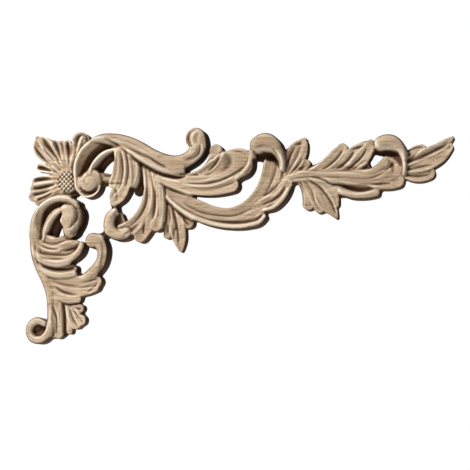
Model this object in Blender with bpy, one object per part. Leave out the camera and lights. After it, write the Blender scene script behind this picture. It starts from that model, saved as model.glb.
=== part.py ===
# Corner onlay of carved wood, for the upper left corner of a frame, a door or a drawer front.
# It is one board, pierced and carved from the front and flat behind. Each leaf, flute, rim and
# scroll is a gouge stroke: a smooth middle line, a width, and a hollow or a rounded top.
# Metres, +Z up. The carved face looks to -Y and the flat back lies in the plane Y = 0.
# The origin is on the back, behind the heart of the rosette.

import math

import bmesh
import bpy
from mathutils import Vector

MM = 0.001

# Driving dimensions, in millimetres and degrees
RING_SPACING = 7.6          # longest run between two rings of a stroke
RING_TURN = 31.0            # largest bend between two rings
WIDE_STROKE = 2.95          # half width from which a stroke has five points across its top
NARROWEST = 0.3             # least half width, at the tip of a leaf
BEND_MARGIN = 0.85          # share of a bend's radius that its inner side may take
ROUND_END = (0.55, 0.92)    # rings of a round end, as shares of the half width
SMALL_END = (0.75,)         # the same on a narrow stroke
SMALL_END_LIMIT = 1.7       # half width up to which an end is a small one
BACK_OVERRUN = 0.6          # how far the strokes run past the back before it is cut flat
BACK_STEP = 0.013           # each stroke runs this much further than the one before
CUTTER_MARGIN = 10.0        # how far the back cutter reaches past the strokes
CUTTER_THICKNESS = 8.0
FLAT_ANGLE = 3.2            # faces that meet at less than this become one

WOOD_COLOUR = (0.60, 0.44, 0.29)
WOOD_ROUGHNESS = 0.62

# A stroke is the hollow of its top (below zero where the top is rounded) and its stations along
# the middle line. A station is (x, z, half width, height of the edge), in millimetres.
# A bed is a low floor that closes the gaps between the strokes above it.
STROKES = {
    # corner rosette
    "rosette_bed": (-0.6, [(-9, 12, 4.5, 3.8), (-4, 9, 7.5, 4.2), (0, 4, 8.5, 4.4),
        (1, -2, 7.2, 4.6)]),
    "rosette_bed_top": (0.0, [(-4.5, 13.5, 3.0, 4.2), (1, 13.5, 3.4, 4.2), (5, 13, 3.0, 4.2)]),
    "rosette_bed_left": (0.0, [(-12, -5, 5.0, 3.8), (-4, -3, 6, 4.2)]),
    "corner_petal": (1.2, [(0, 1, 1.2, 6.4), (-6, 8, 3.0, 6.8), (-10.6, 13.2, 5.0, 6.6),
        (-13.5, 16.8, 4.5, 6.2), (-15.6, 19.9, 0.9, 5.8)]),
    "top_flute_a": (1.08, [(-0.5, 4, 0.9, 6.2), (-4, 11, 1.5, 6.0), (-6.8, 16.6, 1.9, 5.4)]),
    "top_flute_b": (1.08, [(0.3, 4.5, 0.8, 6.2), (-1.9, 11, 1.4, 6.0), (-3.6, 16.6, 1.8, 5.4)]),
    "top_flute_c": (1.08, [(1.3, 5, 0.8, 6.2), (0.3, 11, 1.4, 6.0), (-0.3, 16.6, 1.9, 5.4)]),
    "top_petal": (0.9, [(2.5, 4, 1.2, 6.6), (4.2, 10, 2.2, 6.8), (6.2, 15, 3.7, 6.8),
        (6.6, 17.3, 4.5, 6.6)]),
    "left_flute": (0.8, [(-3, 2, 1.0, 6.2), (-9, 4.4, 1.7, 5.8), (-14.0, 5.6, 2.0, 5.2)]),
    "left_shell_a": (0.8, [(-3, -0.5, 1.0, 6.2), (-9, -0.1, 1.6, 6.0), (-15.6, -1.0, 1.9, 5.6)]),
    "left_shell_b": (0.8, [(-3, -2, 1.0, 6.4), (-9, -3.2, 1.7, 6.4), (-15.8, -4.6, 2.2, 6.0)]),
    "left_shell_c": (0.8, [(-3, -4, 1.0, 6.6), (-9, -6.2, 1.8, 6.6), (-16.2, -8.4, 2.4, 6.2)]),
    "left_shell_d": (0.8, [(-2, -6, 1.2, 6.8), (-8, -8.8, 1.9, 6.8), (-13.2, -10.8, 2.2, 6.4)]),
    "rosette_stem_bed": (0.0, [(-12.4, -11.6, 1.5, 5.0), (-9.2, -12.4, 1.5, 5.0)]),
    "rosette_heart": (-0.9, [(0.3, 1.6, 4.3, 5.7), (1.2, -2.6, 4.8, 5.7)]),
    # upper scroll
    "scroll_band": (2.4, [(27, 15.6, 2.8, 9.0), (21.5, 16.0, 3.4, 9.3), (16.2, 14.4, 4.2, 9.6),
        (12.1, 11.0, 4.7, 9.8), (9.4, 6, 4.5, 9.8), (8.6, 0.5, 3.8, 9.6), (8.6, -4.2, 2.9, 9.2),
        (11.2, -7.4, 2.4, 9.0), (14.4, -6.6, 2.0, 8.8), (16.2, -4.2, 1.6, 8.6)]),
    "scroll_eye": (-1.6, [(11.2, -2.0, 5.2, 7.9), (12.6, -1.6, 5.2, 7.9)]),
    "scroll_neck": (-0.3, [(14.5, -0.6, 3.2, 6.4), (18.5, -0.6, 2.8, 6.4), (22.4, -1.2, 2.4, 6.4)]),
    "scroll_ledge": (0.0, [(24.0, 11.6, 2.0, 3.6), (20.0, 10.7, 2.6, 3.6), (16.8, 8.0, 2.6, 3.6),
        (15.0, 4.4, 2.1, 3.6)]),
    "scroll_top_bed": (0.0, [(9.4, 14.6, 1.5, 5.0), (13, 16.6, 1.2, 5.0)]),
    # upper stem with its ball end
    "upper_stem": (-1.1, [(13, 17.2, 0.8, 8.8), (18, 18.2, 1.9, 8.8), (24, 17.3, 3.0, 8.6),
        (30, 15.2, 3.8, 8.4), (36, 12.4, 4.0, 8.2), (42, 9.0, 3.9, 8.0), (48, 6.4, 4.0, 7.8),
        (54, 5.4, 4.0, 7.6), (59, 7.0, 3.6, 7.6), (62.8, 9.8, 3.7, 7.8), (64.3, 13, 4.2, 8.0),
        (63.2, 17.2, 4.9, 8.0)]),
    "upper_stem_rim": (-0.5, [(31, 12.2, 0.9, 9.0), (36, 9.0, 1.3, 9.0), (42, 5.9, 1.6, 9.0),
        (48, 3.3, 1.7, 8.8), (54, 2.4, 1.8, 8.6), (57.2, 3.0, 1.9, 8.4)]),
    # fluted leaf below the scroll
    "scroll_leaf_bed": (0.0, [(29, 8, 4, 5.0), (30, 0, 4, 5.0)]),
    "scroll_leaf_ground": (0.0, [(35.0, 9, 2.0, 3.8), (36.6, 3, 2.2, 3.8), (36.4, -3, 2.1, 3.8),
        (34.8, -7.2, 1.5, 3.8)]),
    "scroll_flute_right": (0.6, [(31, 12.5, 1.5, 8.6), (33.7, 7, 1.9, 8.6), (34.2, 1, 1.9, 8.4),
        (32.8, -3.2, 1.9, 8.0)]),
    "scroll_flute_long": (0.7, [(28.6, 13, 1.5, 8.8), (31, 7, 1.9, 8.8), (31.3, 0, 2.0, 8.6),
        (29.8, -6, 2.2, 8.2), (27, -9.8, 2.5, 8.0), (24.6, -11.6, 2.1, 7.8)]),
    "scroll_flute_mid": (0.7, [(26.6, 13, 1.5, 8.8), (28, 6.5, 1.8, 8.8), (27.8, 0, 2.0, 8.6),
        (26, -5.5, 2.4, 8.0), (24.4, -9.0, 2.3, 7.6)]),
    "scroll_flute_left": (0.6, [(25.6, 12, 1.4, 8.8), (25.7, 6, 1.6, 8.6), (24.9, 1.0, 1.7, 8.4),
        (23.2, -3.4, 1.7, 7.8)]),
    # large falling leaf
    "fall_leaf_bed": (0.0, [(41, 9, 3.2, 5.0), (43, -2, 3.6, 5.0), (44.4, -12, 3.6, 5.0),
        (43, -19, 3.6, 5.0)]),
    "fall_leaf_tip_bed": (0.0, [(41, -20, 2.6, 4.8), (34.8, -26.2, 1.8, 4.8)]),
    "fall_leaf_left": (0.9, [(39.4, 7.5, 2.2, 7.6), (41, 0, 2.6, 7.6), (41.2, -7, 2.6, 7.6),
        (40, -14, 2.8, 7.6), (37.2, -19.6, 3.2, 7.4), (33, -23.8, 3.5, 7.4),
        (28.6, -25.6, 3.2, 7.4)]),
    "fall_leaf_mid": (0.9, [(41.5, 4, 1.6, 7.8), (44, -2, 2.1, 7.8), (44.6, -9, 2.3, 7.8),
        (43.6, -17, 2.6, 7.6), (41, -23.2, 2.9, 7.4), (37.6, -27.8, 3.1, 7.2)]),
    "fall_leaf_right": (0.7, [(43, 2.5, 1.2, 7.9), (46, -4, 1.6, 7.9), (47.2, -11, 1.8, 7.9),
        (47, -18, 2.2, 7.7), (45.2, -22.8, 3.0, 7.4)]),
    "fall_leaf_curl": (-1.4, [(30.5, -26.7, 2.8, 7.4), (26.4, -27.0, 2.9, 7.4),
        (23.3, -25.0, 3.0, 7.5), (22.5, -21.6, 2.7, 7.7), (23.5, -18.2, 2.4, 7.8),
        (25.0, -16.6, 1.8, 7.7)]),
    "fall_leaf_curl_cup": (0.9, [(29.6, -24.4, 2.6, 6.7), (27.6, -21.4, 2.5, 6.7),
        (26.8, -18.4, 1.9, 6.7)]),
    "tip_joint": (0.0, [(24.2, -12.4, 1.6, 5.0), (24.8, -16.4, 1.6, 5.0)]),
    # three lobed leaf
    "small_leaf_bed": (0.0, [(47.6, -3, 2.4, 4.4), (49.6, -10, 2.2, 4.4), (50, -20, 2.2, 4.0)]),
    "small_leaf_left": (0.4, [(50.4, -12, 1.5, 5.6), (50.5, -21, 1.9, 5.5), (50.1, -27.2, 2.0, 5.2)]),
    "small_leaf_right": (0.4, [(53.5, -13, 1.9, 5.8), (57.4, -18.6, 2.6, 5.6),
        (60.1, -21.8, 2.7, 5.4)]),
    "small_leaf_middle": (0.9, [(51, -9, 1.4, 6.0), (53, -17, 3.0, 6.0), (54.9, -25, 3.8, 5.9),
        (56.2, -31, 2.6, 5.6), (56.6, -34.6, 0.8, 5.4)]),
    # long S stem
    "s_stem_bed": (0.0, [(45, -1, 2.6, 5.0), (52, -5.4, 3.0, 5.0), (60, -9.6, 2.4, 5.0)]),
    "s_stem_rim_bed": (0.0, [(55, -13.4, 1.4, 5.0), (62.4, -18.6, 1.7, 5.0), (70, -21.2, 1.8, 5.0)]),
    "s_stem_band": (1.0, [(48, -5, 1.8, 7.1), (56, -11.2, 3.5, 7.1), (64, -15.8, 4.6, 7.1),
        (72, -18.9, 4.5, 7.1), (80, -19.9, 4.6, 7.1), (88, -17.4, 5.0, 7.1), (94, -11.8, 4.8, 7.1),
        (97.9, -5, 4.9, 7.0), (99.2, 2, 4.5, 6.6), (99, 8, 3.9, 5.6)]),
    "s_stem_heel": (0.6, [(82, -20.0, 1.6, 5.6), (88, -20.0, 2.9, 6.6), (93.4, -19.2, 3.4, 7.0)]),
    "s_stem_rim": (-0.4, [(49.6, -9.7, 0.7, 7.3), (56, -15.5, 0.9, 7.4), (64, -20.0, 1.1, 7.4),
        (72, -22.7, 1.2, 7.5), (80, -23.9, 1.2, 7.5), (88, -23.7, 1.2, 7.5),
        (94.2, -22.0, 1.1, 7.5), (96.3, -19.6, 1.0, 7.4)]),
    "s_stem_lobe": (0.8, [(90, -16.8, 2.0, 6.2), (97, -13.8, 3.3, 7.2), (103, -9.8, 3.6, 7.8),
        (106.4, -5, 2.6, 8.0)]),
    "s_stem_lobe_rim": (-0.3, [(96, -16.5, 0.8, 7.8), (100.4, -15.5, 1.1, 7.9),
        (104.4, -12.1, 1.2, 8.0), (107.2, -7.4, 1.1, 8.0)]),
    # leaf that points right
    "point_leaf_bed": (0.0, [(38, 6.5, 2.6, 5.0), (46, 1.4, 2.8, 5.0), (54, -1.6, 2.8, 5.0),
        (64, -3.4, 3.0, 5.0), (74, -3.0, 3.2, 5.0), (80, -1.6, 2.6, 5.0)]),
    "point_leaf_rim": (0.8, [(45.5, -1.4, 1.2, 8.2), (53, -4.1, 1.9, 8.3), (60, -6.1, 2.4, 8.4),
        (67, -6.9, 2.7, 8.5), (74, -6.4, 3.1, 8.5), (80.8, -4.9, 3.3, 8.4)]),
    "point_leaf_second": (0.7, [(47, 0.6, 1.1, 8.0), (55, -1.3, 1.6, 8.0), (63, -2.2, 1.8, 7.9),
        (69, -1.9, 1.6, 7.6), (74, -0.4, 0.9, 7.0)]),
    "point_leaf_cup": (1.5, [(58, -1.0, 1.8, 7.7), (66, -0.2, 3.0, 7.9), (73, 2.4, 5.0, 8.1),
        (79.6, 4.6, 6.7, 8.3), (84.0, 5.0, 7.0, 8.5)]),
    "point_leaf_edge": (-0.3, [(83.4, -1.6, 1.3, 8.4), (87.4, 1.6, 1.2, 8.6), (89.6, 6, 1.2, 8.6),
        (89.8, 10.2, 1.3, 8.4)]),
    "point_leaf_lobe": (0.5, [(66, 1.2, 1.6, 7.2), (71.7, 6.0, 2.9, 7.15), (73.2, 9.4, 3.6, 7.0),
        (72.8, 11.2, 3.2, 6.8)]),
    # first hood
    "hood_one": (-1.3, [(104, 2, 1.0, 7.4), (103.2, 8, 1.9, 7.8), (100.6, 12.6, 3.3, 8.4),
        (96.4, 14.5, 4.2, 8.6), (92.8, 13.4, 3.7, 8.4)]),
    "hood_one_bed": (0.0, [(91.6, 8.6, 1.7, 3.8), (95.2, 8.2, 2.0, 3.8), (99, 7.4, 2.0, 3.8)]),
    # leaf that points up
    "side_leaf_bed": (0.0, [(103, -1, 4.0, 5.0), (110, 0.6, 4.0, 5.0), (115.4, 1.0, 2.2, 5.0)]),
    "up_leaf_side": (0.4, [(104.5, -2, 1.2, 6.2), (105.2, 5, 1.6, 6.2), (106.4, 10, 1.7, 5.9)]),
    "up_leaf_main": (0.7, [(105.2, -3, 1.3, 6.8), (107, 4, 2.5, 6.6), (110, 10.4, 3.7, 6.3),
        (112.6, 14, 2.4, 6.0), (114.2, 16.0, 0.8, 5.8)]),
    "up_leaf_right": (0.5, [(107, -1.5, 1.2, 6.8), (110.4, 4.4, 2.0, 6.5), (113.0, 9.6, 2.3, 6.1),
        (114.2, 14.0, 1.3, 5.8)]),
    "up_leaf_low": (0.5, [(108.5, -1.6, 1.2, 6.8), (112, 1.8, 1.9, 6.3), (114.8, 4.6, 2.1, 5.8)]),
    # leaf that points down
    "down_leaf_left": (0.5, [(111.6, -2.6, 1.5, 6.8), (115.2, -8, 2.4, 6.3),
        (116.2, -13.8, 2.9, 5.8)]),
    "down_leaf_lobe": (0.5, [(115.5, -5, 1.8, 6.6), (119.2, -11, 2.6, 6.2),
        (121.4, -15.6, 2.6, 5.8)]),
    "down_leaf_main": (0.8, [(108.4, -0.2, 0.8, 7.2), (113.4, -2.2, 1.6, 7.3),
        (119.6, -7.2, 2.6, 6.7), (124.2, -13.2, 3.8, 6.2), (127.4, -17.4, 2.2, 5.9),
        (128.9, -20.0, 0.8, 5.7)]),
    "down_leaf_right": (0.6, [(110, 0.4, 0.8, 7.4), (116, -1.3, 1.5, 7.5), (122, -4.4, 1.9, 7.0),
        (127, -9.2, 2.4, 6.6), (128.6, -14, 1.6, 6.2)]),
    # right arm
    "arm_band": (-0.35, [(102, -5.2, 1.0, 6.0), (107, -2.8, 2.2, 6.9), (113, -1.4, 2.5, 7.1),
        (121, -1.3, 2.8, 7.1), (129, -1.7, 3.0, 7.0), (137, -2.2, 3.2, 6.9),
        (144.6, -2.0, 3.6, 6.8), (150.6, 0.8, 4.4, 6.5), (153.8, 5.2, 4.2, 5.8),
        (154.4, 8.6, 3.6, 5.0)]),
    "arm_bed": (0.0, [(118, 1.6, 2.4, 4.8), (127, 3, 3.0, 4.8), (136, 3, 3.2, 4.8),
        (141.6, 2.8, 2.6, 4.8)]),
    "arm_rim_bed": (0.0, [(126.4, -6.0, 1.5, 4.8), (130.0, -8.6, 1.8, 4.8), (134, -8.8, 1.6, 4.8)]),
    "arm_channel": (1.4, [(124.6, -4.6, 1.4, 6.5), (128.4, -4.8, 1.9, 6.8), (134, -6.2, 2.6, 6.8),
        (141, -7.0, 2.9, 6.8), (147, -6.4, 2.8, 6.8)]),
    "arm_rim": (-0.3, [(130.4, -8.2, 1.0, 7.0), (135, -10.1, 1.4, 7.0), (141, -10.6, 1.5, 7.0),
        (147, -9.4, 1.8, 6.8)]),
    "arm_lower_lobe": (0.6, [(144, -4, 2.2, 7.0), (150, -4.6, 3.3, 7.0), (156.4, -4.2, 3.1, 6.8)]),
    "arm_shoulder": (0.3, [(150, 0, 3.2, 6.8), (154, 0.6, 4.0, 6.8), (155.2, 4, 3.2, 6.2)]),
    "arm_lobe_a": (0.6, [(113.6, -0.6, 0.8, 7.3), (118.6, 1.2, 1.6, 7.2), (124, 4.0, 2.5, 6.6),
        (129.4, 8.6, 3.0, 6.3), (131.4, 11.2, 2.4, 6.0)]),
    "arm_lobe_b": (0.6, [(121.6, -0.8, 0.8, 7.2), (127.2, 1.8, 1.7, 7.0), (132, 5.4, 2.6, 6.4),
        (137, 9.4, 2.8, 6.3), (141.6, 12.6, 1.8, 6.0)]),
    "arm_lobe_c": (0.6, [(127.8, -1.0, 0.8, 7.15), (133.2, 1.4, 1.7, 6.95), (138.4, 4.8, 3.1, 6.5),
        (142.2, 9.2, 3.1, 6.35), (144.1, 13.1, 1.9, 6.15)]),
    # second hood
    "hood_two_bed": (0.0, [(157.4, 7.6, 1.6, 4.6), (157.8, 2.0, 1.8, 4.6)]),
    "hood_two": (-1.2, [(159.3, -1, 0.8, 6.6), (159.6, 5, 1.2, 7.0), (158, 10.4, 2.2, 7.6),
        (153.8, 13.2, 3.3, 8.0), (149.2, 13.0, 3.1, 7.8)]),
    "hood_two_under": (0.0, [(144.4, 11.0, 1.6, 3.8), (148.4, 9.8, 1.7, 3.8), (153, 9.0, 1.6, 3.8)]),
    # end leaf
    "end_leaf_bed": (0.0, [(156, -1, 3.0, 4.8), (162, 3, 3.2, 4.8), (168, 4, 3.0, 4.8)]),
    "end_leaf_bottom": (0.8, [(158.6, -0.6, 1.5, 6.4), (164, -1.7, 2.9, 6.4),
        (170.4, -0.8, 2.8, 6.2)]),
    "end_leaf_low": (0.9, [(159, 1.4, 1.6, 6.6), (167, 3.2, 3.3, 6.6), (174, 6.6, 3.7, 6.4),
        (179, 10.8, 2.1, 6.0)]),
    "end_leaf_lobe": (0.4, [(160, 5, 1.7, 6.2), (163.4, 8.4, 2.5, 6.2), (167.0, 10.2, 2.1, 6.0)]),
    "end_leaf_tip": (0.5, [(160, 3.6, 1.6, 6.8), (167, 7.4, 2.1, 6.8), (174, 10.4, 2.0, 6.6),
        (178.6, 13.2, 1.5, 6.3), (181, 15.2, 0.5, 6.0)]),
    # lower scroll and left stem
    "left_stem": (-0.6, [(-5.9, -71, 1.3, 6.4), (-5.9, -62, 1.4, 6.2), (-6.3, -55, 1.8, 6.0),
        (-8.6, -48, 2.1, 6.2), (-11.5, -42, 2.3, 6.5), (-13.5, -36, 2.4, 6.9),
        (-14.2, -30, 2.4, 7.4), (-14.1, -24, 2.4, 8.4), (-13.2, -18.4, 1.9, 9.0),
        (-10.8, -13.8, 1.3, 9.0), (-7, -11, 1.1, 9.0), (-2.5, -9.8, 1.2, 9.0), (2, -10.6, 1.6, 8.8),
        (6, -12.8, 2.0, 8.4)]),
    "lower_scroll_ledge": (0.0, [(0.4, -17.0, 1.8, 3.6), (-3.4, -19.0, 2.8, 3.6),
        (-6.2, -22.6, 3.0, 3.6), (-7.4, -26.8, 2.9, 3.6)]),
    "lower_scroll_band": (2.2, [(-11.8, -28, 2.4, 8.2), (-11.2, -22.5, 2.9, 8.8),
        (-8.4, -16.9, 3.1, 9.0), (-3.8, -13.2, 3.1, 9.0), (1.5, -12.8, 2.6, 9.0)]),
    "lower_scroll_eye": (-2.6, [(1.5, -14.4, 3.6, 7.0), (3.4, -17.0, 6.2, 7.0),
        (3.9, -20.4, 5.9, 7.0), (3.6, -24.6, 4.0, 7.0)]),
    "cup_leaf_bed": (0.0, [(-12, -26.5, 2.4, 5.0), (-6, -33, 4.2, 5.0), (2, -33, 4.2, 5.0)]),
    "cup_leaf_lip": (0.4, [(-11.8, -26.4, 1.7, 7.0), (-8.4, -29.2, 1.9, 7.0), (-3.6, -30.2, 2.0, 7.0),
        (0.6, -29.0, 1.8, 6.8), (3.4, -27.4, 1.6, 6.6)]),
    "cup_leaf_upper": (0.5, [(-14.8, -25.6, 1.1, 7.9), (-13.4, -29.4, 1.5, 7.8),
        (-10, -32.0, 1.7, 7.8), (-4.5, -33.2, 1.8, 7.8), (1.5, -32, 1.8, 7.8),
        (6.4, -30.9, 1.4, 7.8)]),
    "cup_leaf_middle": (1.3, [(-15.2, -28.8, 1.1, 7.9), (-13.4, -33.0, 1.7, 8.0),
        (-9, -35.8, 2.1, 8.0), (-2.5, -36.6, 2.4, 8.0), (3.5, -35.0, 2.7, 8.0),
        (7.6, -32.8, 2.4, 8.0)]),
    "cup_leaf_rim": (-0.4, [(-14.8, -32.8, 1.0, 7.6), (-13, -36.4, 1.5, 8.0), (-8, -39.3, 1.8, 8.0),
        (-1.5, -40.2, 1.8, 8.2), (4.5, -38.2, 1.7, 8.2), (8.3, -35, 1.6, 8.2),
        (9.4, -31.6, 1.4, 8.0)]),
    "under_leaf_top_bed": (0.0, [(-8, -41.2, 1.3, 4.6), (-2, -42.2, 1.5, 4.6), (3, -41.2, 1.3, 4.6)]),
    "under_leaf_bed": (0.0, [(-9.6, -42.5, 2.0, 4.6), (-4, -46, 3.0, 4.6), (4, -46.4, 3.0, 4.6),
        (9, -47.6, 2.0, 4.6)]),
    "under_leaf": (0.5, [(-13.9, -37.0, 1.1, 7.0), (-11.4, -40.6, 1.5, 7.0), (-7, -42.8, 2.0, 6.8),
        (-1, -43.8, 2.1, 6.8), (5.0, -43.0, 2.1, 6.6)]),
    "under_leaf_rim": (-0.3, [(-12.8, -40.2, 0.8, 7.0), (-10.2, -43.2, 1.1, 7.2),
        (-6, -45.3, 1.3, 7.2), (0, -46.0, 1.3, 7.2), (5.6, -45.2, 1.4, 7.0)]),
    "tongue_upper": (0.6, [(-11.0, -43.4, 1.1, 6.8), (-8.4, -46.6, 2.0, 6.8), (-3, -48.9, 2.5, 6.7),
        (4, -49.6, 2.8, 6.7), (11, -49.4, 3.2, 6.7), (16.2, -48.9, 3.1, 6.6)]),
    "tongue_middle": (0.6, [(-9.0, -47.4, 1.0, 6.6), (-7, -50.4, 1.7, 6.7), (-2, -52.8, 2.1, 6.7),
        (4, -53.8, 2.2, 6.7), (10, -53.1, 2.6, 6.7), (15.6, -51.2, 2.6, 6.5)]),
    "tongue_lower": (0.5, [(-7.4, -51.0, 1.0, 6.5), (-6.2, -53.8, 1.5, 6.5), (-2.6, -55.7, 1.8, 6.5),
        (3, -57.0, 2.0, 6.5), (7.4, -56.8, 2.0, 6.3)]),
    "tongue_curl": (-1.1, [(6.6, -48.0, 1.2, 5.2), (11.4, -46.8, 2.1, 6.2), (15.4, -44.2, 2.6, 6.9),
        (18.2, -41.0, 2.5, 7.3), (19.6, -37.2, 2.4, 7.6), (19.2, -33, 2.8, 7.8),
        (17.2, -30.4, 3.4, 8.0), (14.8, -29.9, 3.6, 8.0)]),
    "curl_joint": (0.0, [(18.6, -28.0, 1.6, 5.2), (21.4, -25.4, 1.6, 5.2)]),
    # foot
    "foot_bed": (0.0, [(-1.5, -59, 5.0, 4.2), (-0.5, -66, 5.2, 4.2), (-1.5, -71, 4.2, 4.2)]),
    "foot_flute_left": (0.4, [(-4.6, -58, 1.5, 6.4), (-4.4, -66, 1.6, 6.2), (-4.2, -73.6, 1.9, 5.8)]),
    "foot_flute_right": (0.4, [(-1.9, -58, 1.5, 6.4), (-1.7, -66, 1.6, 6.2),
        (-1.4, -73.8, 1.9, 5.8)]),
    "foot_leaf_stalk": (0.3, [(1.8, -60, 1.2, 5.0), (2.9, -67, 1.3, 5.0), (3.8, -72, 1.5, 4.8)]),
    "foot_leaf_main": (0.7, [(2.8, -59, 2.0, 5.7), (5.2, -64.5, 3.0, 5.7), (6.8, -68.0, 3.1, 5.5)]),
    "foot_leaf_top_lobe": (0.3, [(3.6, -60, 1.7, 5.5), (8.5, -61.4, 2.1, 5.3)]),
    "foot_leaf_side_lobe": (0.4, [(4.8, -62.5, 2.2, 5.6), (8.9, -66.8, 2.8, 5.4)]),
    "foot_scroll": (-0.6, [(-5.6, -68, 1.5, 6.6), (-6.4, -73.4, 1.8, 6.8), (-9.6, -76.3, 1.7, 7.0),
        (-13.4, -76.0, 1.6, 7.0), (-15.7, -72.6, 1.5, 7.0), (-14.8, -68.8, 1.5, 7.0),
        (-11.6, -67.1, 1.5, 7.0), (-8.6, -68.2, 1.4, 6.8)]),
    "foot_scroll_bowl": (1.2, [(-9.4, -70.4, 3.2, 5.4), (-11.6, -71.8, 4.1, 5.4)]),
}


def smooth_line(stations):
    """A smooth curve through the stations, with more rings where it bends."""
    points = [Vector(station) for station in stations]
    chords = [(b - a).xy.length for a, b in zip(points, points[1:])]
    slopes = [(b - a) / chord for a, b, chord in zip(points, points[1:], chords)]
    tangents = [slopes[0]]
    for before, after, near, far in zip(slopes, slopes[1:], chords, chords[1:]):
        tangents.append((before * far + after * near) / (near + far))
    tangents.append(slopes[-1])
    if len(points) > 2:
        tangents[0] = 2 * slopes[0] - tangents[1]
        tangents[-1] = 2 * slopes[-1] - tangents[-2]
    line = []
    for i, chord in enumerate(chords):
        turn = math.degrees(tangents[i].xy.angle(tangents[i + 1].xy))
        count = max(math.ceil(chord / RING_SPACING), math.ceil(turn / RING_TURN))
        for k in range(count):
            t = k / count
            line.append((2 * t**3 - 3 * t**2 + 1) * points[i]
                        + (t**3 - 2 * t**2 + t) * chord * tangents[i]
                        + (3 * t**2 - 2 * t**3) * points[i + 1]
                        + (t**3 - t**2) * chord * tangents[i + 1])
    line.append(points[-1])
    return line


def side_reach(line, i):
    """How far the stroke reaches to its right and left, less where it would fold in a bend."""
    reach = max(line[i].z, NARROWEST)
    if i in (0, len(line) - 1):
        return reach, reach
    before = (line[i] - line[i - 1]).xy
    after = (line[i + 1] - line[i]).xy
    turn = after.angle_signed(before)
    radius = (before.length + after.length) / 2 / max(abs(turn), 1e-6)
    inner = min(reach, radius * BEND_MARGIN)
    return (reach, inner) if turn > 0 else (inner, reach)


def section(point, along, step, reaches, shares, hollow, back):
    """One closed section across a stroke. step places it in a round end, 0 on the station."""
    half = max(point.z, NARROWEST)
    left = Vector((-along.y, along.x))
    place = point.xy + along * step * half
    spread = math.sqrt(1 - step * step)
    top = []
    for share in shares:
        reach = reaches[0] if share < 0 else reaches[1]
        spot = place + left * share * spread * reach
        fill = step * step + (share * spread) ** 2
        top.append(Vector((spot.x, -(point.w - hollow * (1 - fill)), spot.y)))
    right_foot = Vector((top[0].x, back, top[0].z))
    left_foot = Vector((top[-1].x, back, top[-1].z))
    return top + [left_foot, right_foot]


def stroke_sections(stations, hollow, back):
    """Every section of a stroke, from one round end to the other."""
    line = smooth_line(stations)
    widest = max(station[2] for station in stations)
    shares = (-1, -0.5, 0, 0.5, 1) if widest > WIDE_STROKE else (-1, 0, 1)
    last = len(line) - 1
    sections = []
    for i, point in enumerate(line):
        along = (line[min(i + 1, last)] - line[max(i - 1, 0)]).xy.normalized()
        end = SMALL_END if point.z < SMALL_END_LIMIT else ROUND_END
        steps = (0,)
        if i == 0:
            steps = tuple(-step for step in reversed(end)) + steps
        if i == last:
            steps = steps + end
        reaches = side_reach(line, i)
        for step in steps:
            sections.append(section(point, along, step, reaches, shares, hollow, back))
    return sections


def loft(name, sections, collection):
    """A closed solid through a row of sections with the same number of points."""
    mesh = bpy.data.meshes.new(name)
    bm = bmesh.new()
    rings = [[bm.verts.new(corner * MM) for corner in ring] for ring in sections]
    for ring, after in zip(rings, rings[1:]):
        for k in range(len(ring)):
            n = (k + 1) % len(ring)
            bm.faces.new((ring[k], ring[n], after[n], after[k]))
    bm.faces.new(rings[0])
    bm.faces.new(rings[-1])
    bmesh.ops.recalc_face_normals(bm, faces=bm.faces)
    bm.to_mesh(mesh)
    bm.free()
    stroke = bpy.data.objects.new(name, mesh)
    collection.objects.link(stroke)
    return stroke


def as_guide(guide):
    guide.hide_render = True
    guide.display_type = "WIRE"


def back_cutter(collection):
    """A slab behind the plane Y = 0, which leaves the back of the onlay flat."""
    xs = [s[0] for hollow, stations in STROKES.values() for s in stations]
    zs = [s[1] for hollow, stations in STROKES.values() for s in stations]
    size = Vector((max(xs) - min(xs), 0, max(zs) - min(zs)))
    middle = Vector((max(xs) + min(xs), CUTTER_THICKNESS, max(zs) + min(zs))) / 2
    size += Vector((2 * CUTTER_MARGIN, CUTTER_THICKNESS, 2 * CUTTER_MARGIN))
    mesh = bpy.data.meshes.new("back_cutter")
    bm = bmesh.new()
    bmesh.ops.create_cube(bm, size=1.0)
    bmesh.ops.scale(bm, vec=size * MM, verts=bm.verts)
    bm.to_mesh(mesh)
    bm.free()
    cutter = bpy.data.objects.new("back_cutter", mesh)
    cutter.location = middle * MM
    collection.objects.link(cutter)
    return cutter


def wood_material():
    material = bpy.data.materials.new("carved_wood")
    material.use_nodes = True
    shader = material.node_tree.nodes["Principled BSDF"]
    shader.inputs["Base Color"].default_value = (*WOOD_COLOUR, 1.0)
    shader.inputs["Roughness"].default_value = WOOD_ROUGHNESS
    shader.inputs["Metallic"].default_value = 0.0
    return material


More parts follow.
